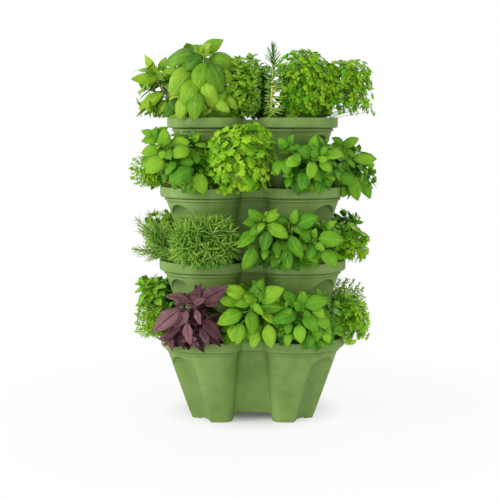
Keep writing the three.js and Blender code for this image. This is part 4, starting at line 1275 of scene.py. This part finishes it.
def grown(tier, herb, name, seat, crown, rise, size, trim, walls, chance):
    plan, footZ = plans[tier - 1], potFeet[tier - 1]
    reach = plan["reach"] * mm
    rimZ = footZ + plan["height"] * mm
    root = Vector((seat[0] * reach, seat[1] * reach, footZ + plan["soilTop"] * mm))
    centre = Vector((crown[0] * reach, crown[1] * reach, rimZ + rise * mm))
    half = Vector(size) * mm / 2
    outward = Vector((centre.x, centre.y, 0)).normalized()
    launch = Vector((root.x, root.y, rimZ + growing["launch"])) + outward * growing["launch"]
    shape = herbs[herb]
    small, large = shape["leaf"][0] * mm * trim, shape["leaf"][1] * mm * trim
    thick = next(width for length, width in growing["thickness"] if large > length)
    thick = growing["sprigThickness"] if herb == "rosemary_sprig" else thick
    plant = {"kinds": leaves[shape["blade"]], "walls": walls, "thick": thick, "stems": [], "placed": []}
    divided = "leaflets" in shape
    wanted = []
    if herb == "rosemary_sprig":
        path = sprigPath(root, centre, centre + half, rimZ)
        wanted.append((path, Vector(tallSprig["growth"]), 1))
    else:
        wider, more = growing["spread"] if divided else (1, 1)
        faces = size[0] * size[1] + size[1] * size[2] + size[0] * size[2]
        count = max(1, round(shape["fill"] * faces * mm * mm / (large * wider) ** 2 * more))
        ofLeaf, ofHalf = growing["margin"]
        margin = min(large * (1 if divided else ofLeaf), min(half) * ofHalf)
        tips = tipPlaces(centre, half, outward, launch, margin, count, walls, chance)
        if name in placedLeaves:
            tips = [tip for tip in tips if tip[1].y > handSet["clearFront"]][: round(count * handSet["around"])]
        onward, outwards, upwards = growing["ways"]
        aside, sunk = growing["rootSpread"]
        for tip, facing in tips:
            growth = (facing * onward + outward * outwards + Vector((0, 0, upwards))).normalized()
            start = root + Vector((chance.uniform(-aside, aside), chance.uniform(-aside, aside), sunk)) * mm
            path = stalkPath(start, launch, tip, growth, walls)
            wanted.append((path, growth, chance.uniform(*growing["scale"])))
        spacing = shape.get("lowStep", lowGrowth["step"][tier])
        wanted += lowSprigs(root, centre, outward, rimZ, size, spacing, walls, chance)
    copies = []
    for path, growth, scale in wanted:
        plant["stems"].append((path, thick, thick * growing["thin"]))
        if divided:
            tip, ahead = path[-1], (path[-1] - path[-2]).normalized()
            onward, away, outwards, upwards = growing["facing"]
            normal = growth * onward + (tip - centre).normalized() * away + outward * outwards
            normal = (normal + Vector((0, 0, upwards))).normalized()
            copies += dividedLeaf(tip, ahead, normal, shape, small * scale, large * scale, chance)
        else:
            copies += leafPairs(path, shape, small * scale, large * scale, chance)
    low, high = roomFor(centre - half, centre + half, 0)
    # painted shade: the grown sprigs' leaves behind the listed front leaves are made darker
    shade = shades.get(name, 0) + (handSet["behind"] if name in placedLeaves else 0)
    palest, darkest = growing["tones"]
    for matrix, tone, anchor in copies:
        slack = Vector((1, 1, 1)) * chance.uniform(0, growing["slack"])
        tone = min(darkest, max(palest, tone + shade))
        setLeaf(plant, matrix, tone, anchor, (low + slack, high - slack), chance)
    if name in placedLeaves:
        room = roomFor(low, high, overhang["sideways"])
        setByHand(plant, name, shape, root, centre, half, launch, small, room, chance)
    return plant["stems"], plant["placed"]


# Points back along a path from its tip
def backAlong(path, distance):
    for k in range(len(path) - 1, 0, -1):
        step = path[k - 1] - path[k]
        if distance <= step.length:
            return path[k] + step.normalized() * distance, -step.normalized()
        distance -= step.length
    return None, None


def leafPairs(path, shape, small, large, chance):
    found = []
    turn = chance.uniform(0, 6.3)
    whorl = shape.get("whorl", 2)
    step = shape["step"] * mm
    nodes = shape["nodes"]
    power, factor = pairing["spacing"]
    young, old = shape.get("tones", pairing["tones"])
    for n in range(nodes):
        share = n / max(1, nodes - 1)
        down = step * (n**power if whorl == 2 else n * factor) * chance.uniform(*pairing["uneven"])
        base, ahead = backAlong(path, down)
        if base is None:
            break
        side = ahead.orthogonal().normalized()
        other = ahead.cross(side)
        length = small + (large - small) * min(1, share * pairing["grownAt"])
        first, last = shape["lift"]
        angle = math.radians(first + (last - first) * share ** pairing["dropping"])
        for leaf in range(whorl):
            spin = turn + leaf * 2 * math.pi / whorl + chance.uniform(-pairing["spin"], pairing["spin"])
            out = side * math.cos(spin) + other * math.sin(spin)
            lean = angle + chance.uniform(-pairing["lean"], pairing["lean"])
            along = out * math.cos(lean) + ahead * math.sin(lean)
            top = (ahead * math.cos(lean) - out * math.sin(lean) + Vector((0, 0, pairing["up"]))).normalized()
            size = length * chance.uniform(*pairing["size"])
            tone = min(1, max(0, young + (old - young) * share + chance.uniform(*pairing["toneSpread"])))
            found.append((leafPlace(base, along, top, size), tone, base))
        slip = pairing["pairTurn"]
        turn += pairing["whorlTurn"] if whorl == 3 else quarter + chance.uniform(-slip, slip)
    return found


# A leaf cut into leaflets, each on its own short stalk
def dividedLeaf(tip, ahead, normal, shape, small, large, chance):
    found = []

    def tilted(way, most):
        return (way + Vector([chance.uniform(-most, most) for _ in range(3)])).normalized()

    facing = tilted(normal, dividing["tilt"])
    flow = ahead - facing * ahead.dot(facing)
    flow = flow.normalized() if flow.length > 1e-4 else facing.orthogonal().normalized()
    side = flow.cross(facing)
    tone = chance.uniform(*dividing["tone"])
    turn, depth = dividing["turn"], dividing["depth"]
    for x, y, degrees in dividing["spots"][: shape["leaflets"]]:
        angle = math.radians(degrees + chance.uniform(-turn, turn))
        along = flow * math.cos(angle) + side * math.sin(angle)
        top = tilted(facing, dividing["leafletTilt"])
        base = tip + (side * x + flow * y + facing * chance.uniform(-depth, depth)) * (large * dividing["spread"])
        size = (small + (large - small) * chance.random()) * (1 if y > 0 else dividing["lower"])
        shade = min(1, max(0, tone + chance.uniform(*dividing["toneSpread"])))
        found.append((leafPlace(base, along, top, size), shade, tip))
    return found


# Shifts a leaf into its crown's box, and turns down or leaves out one that would stand in a pot's wall
def fit(matrix, template, low, high, walls):
    for _ in range(fitting["tries"]):
        turned = np.array(matrix.to_3x3())
        points = template["points"] @ turned.T + np.array(matrix.translation)
        least, most = points.min(0), points.max(0)
        under = np.maximum(0, np.array(low) - least)
        over = np.maximum(0, most - np.array(high))
        matrix.translation += Vector(under - over)
        base = matrix.translation.copy()
        tip = matrix @ Vector((0, 1, template["droop"] * fitting["droop"]))
        wide = template["half"]
        left, right = matrix @ Vector((-wide, 0.5, 0)), matrix @ Vector((wide, 0.5, 0))
        edges = [(base, tip), (base, left), (base, right), (left, tip), (right, tip), (left, right)]
        if not any(blocked(walls, a, b) for a, b in edges):
            return matrix
        axis = (tip - base).cross(Vector((0, 0, 1)))
        if axis.length < 1e-6:
            return None
        turn = Matrix.Rotation(math.radians(fitting["turn"]), 4, axis.normalized())
        turn = turn @ Matrix.Scale(fitting["shrink"], 4)
        matrix = Matrix.Translation(base) @ turn @ Matrix.Translation(-base) @ matrix
    return None


# One mesh of all a plant's stalks and leaves, with the leaf UV map and each leaf's tone
def plantPiece(name, stems, placed, leafFinish, stemFinish):
    points, faces, uvs, tones, slots = [], [], [], [], []
    offset = 0
    stout, many, few = growing["sides"]
    for path, thick, thin in stems:
        ring, sides = tube(path, thick, thin, many if thick > stout else few)
        points.append(np.array(ring))
        faces += [tuple(i + offset for i in face) for face in sides]
        uvs += [(0.5, 0.5)] * sum(len(face) for face in sides)
        tones += [growing["stalkTone"]] * len(ring)
        slots += [1] * len(sides)
        offset += len(ring)
    for matrix, tone, template in placed:
        turned = np.array(matrix.to_3x3())
        copy = template["points"] @ turned.T + np.array(matrix.translation)
        points.append(copy)
        faces += [tuple(i + offset for i in face) for face in template["faces"]]
        uvs += template["uvs"]
        tones += [tone] * len(copy)
        slots += [0] * len(template["faces"])
        offset += len(copy)
    mesh = bpy.data.meshes.new(name)
    mesh.from_pydata(np.concatenate(points).tolist(), [], faces)
    layer = mesh.uv_layers.new(name="leaf")
    layer.data.foreach_set("uv", np.array(uvs, dtype=np.float32).ravel())
    tint = mesh.attributes.new("leafTone", "FLOAT", "POINT")
    tint.data.foreach_set("value", np.array(tones, dtype=np.float32))
    mesh.materials.append(leafFinish)
    mesh.materials.append(stemFinish)
    mesh.polygons.foreach_set("material_index", slots)
    mesh.polygons.foreach_set("use_smooth", [True] * len(faces))
    mesh.update()
    made = bpy.data.objects.new(name, mesh)
    bpy.context.scene.collection.objects.link(made)
    return made


bpy.context.view_layer.update()
depsgraph = bpy.context.evaluated_depsgraph_get()
walls = [BVHTree.FromObject(thing, depsgraph) for thing in potMeshes]
total = 0
for number, (tier, herb, place, seat, crown, rise, size, trim) in enumerate(plants):
    chance = random.Random(100 + number)
    body = "tier_%d" % tier
    cadName = "%s_%s_%s" % (body, herb, place)
    near = walls[tier - 1 : tier + 1]
    stems, placed = grown(tier, herb, cadName, seat, crown, rise, size, trim, near, chance)
    finish, slotName = finishes[herb]
    wood = twig if herb in ("rosemary", "rosemary_sprig", "thyme", "bay") else stalk
    wood = purpleStalk if herb == "purple_basil" else wood
    piece = plantPiece("%s_tier_%d_%s" % (herb, tier, place), stems, placed, leafMaterials[finish], wood)
    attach(piece, body)
    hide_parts(cadName)
    total += len(piece.data.polygons)
print("plants grown:", len(plants), "with", total, "faces")

# Plain white sweep: it takes the tower's soft shadow near the feet and runs out to plain white
studio = {
    "floorSize": 12,
    "floorDrop": 0.0002,
    "shadowReach": (0.3, 0.6),  # metres from the axis over which the shadow fades out
    "paper": 0.9,  # the share of plain white round the feet
    "under": (0.045, 0.17, 0.08),  # metres from the axis where the shadow below the pot ends, and its plain white
    "world": 0.6,
    "lamps": {  # place in metres, size and watts
        "key": ((-2.2, -1.2, 1.2), 1.0, 32),
        "fill": ((1.7, -1.4, 1.3), 1.4, 3),
        "front": ((-0.5, -2.6, 0.3), 1.2, 10),
        "back": ((0.9, 2.4, 1.1), 1.4, 14),
    },
    "aim": (0, 0, 0.3),
}


# What the camera sees straight, in a mirror or through glass, as against what only lights the piece
def seenDirect(tree):
    rays = node(tree, "LightPath")
    seen = calc(tree, "ADD", (rays, "Is Camera Ray"), (rays, "Is Glossy Ray"))
    return calc(tree, "ADD", seen, (rays, "Is Transmission Ray"), use_clamp=True)


def studioFloor():
    deselect()
    bpy.ops.mesh.primitive_grid_add(x_subdivisions=8, y_subdivisions=8, size=studio["floorSize"])
    floor = bpy.context.object
    floor.name = "studio_floor"
    floor.data.transform(Matrix.Translation((0, 0, -studio["floorDrop"])))
    made, tree, shader = material("white paper sweep", {})
    tree.nodes.remove(shader)
    paper = node(tree, "BsdfDiffuse", {"Color": linear("FFFFFF")})
    plain = node(tree, "Emission", {"Color": linear("FFFFFF"), "Strength": 1})
    place = node(tree, "TexCoord")
    far = node(tree, "VectorMath", {0: (place, "Object")}, operation="LENGTH"), "Value"
    near, out = studio["shadowReach"]
    inside, edge, least = studio["under"]
    fade = remapped(tree, far, near, out, least=studio["paper"], interpolation_type="SMOOTHSTEP")
    under = remapped(tree, far, inside, edge, least=least, interpolation_type="SMOOTHSTEP")
    share = calc(tree, "MULTIPLY", seenDirect(tree), calc(tree, "MULTIPLY", fade, under))
    both = node(tree, "MixShader", {0: share, 1: (paper, "BSDF"), 2: (plain, "Emission")})
    feed(tree, (both, 0), tree.nodes["Material Output"], "Surface")
    floor.data.materials.append(made)


def lamp(name, place, size, watts):
    light = bpy.data.lights.new(name, "AREA")
    light.shape = "DISK"
    light.size = size
    light.energy = watts
    made = bpy.data.objects.new(name, light)
    made.location = place
    made.rotation_euler = (Vector(studio["aim"]) - Vector(place)).to_track_quat("-Z", "Y").to_euler()
    bpy.context.scene.collection.objects.link(made)


def studioLight():
    world = bpy.data.worlds.new("studio")
    bpy.context.scene.world = world
    world.use_nodes = True
    tree = world.node_tree
    tree.nodes.clear()
    soft = node(tree, "Background", {"Color": linear("FFFFFF"), "Strength": studio["world"]})
    white = node(tree, "Background", {"Color": linear("FFFFFF"), "Strength": 1})
    both = node(tree, "MixShader", {0: seenDirect(tree), 1: (soft, 0), 2: (white, 0)})
    feed(tree, (both, 0), node(tree, "OutputWorld"), "Surface")
    for name, values in studio["lamps"].items():
        lamp(name, *values)


# The photograph's view: level with the top rim, tilted down to put that rim above the middle
view = {
    "place": (0, -1.962, 0.505),
    "tilt": 6.63,  # degrees down
    "turn": 0.126,
    "focal": 82.66,
    "sensor": 36,
}


def camera():
    data = bpy.data.cameras.new("view")
    data.sensor_width = view["sensor"]
    data.lens = view["focal"]
    made = bpy.data.objects.new("view", data)
    made.location = view["place"]
    made.rotation_euler = (math.radians(90 - view["tilt"]), 0, math.radians(view["turn"]))
    bpy.context.scene.collection.objects.link(made)
    bpy.context.scene.camera = made


studioFloor()
studioLight()
camera()
bpy.context.scene.view_settings.view_transform = "Standard"
print("stage, light and camera set")


def plain(box):
    return [[float(value) for value in corner] for corner in box]
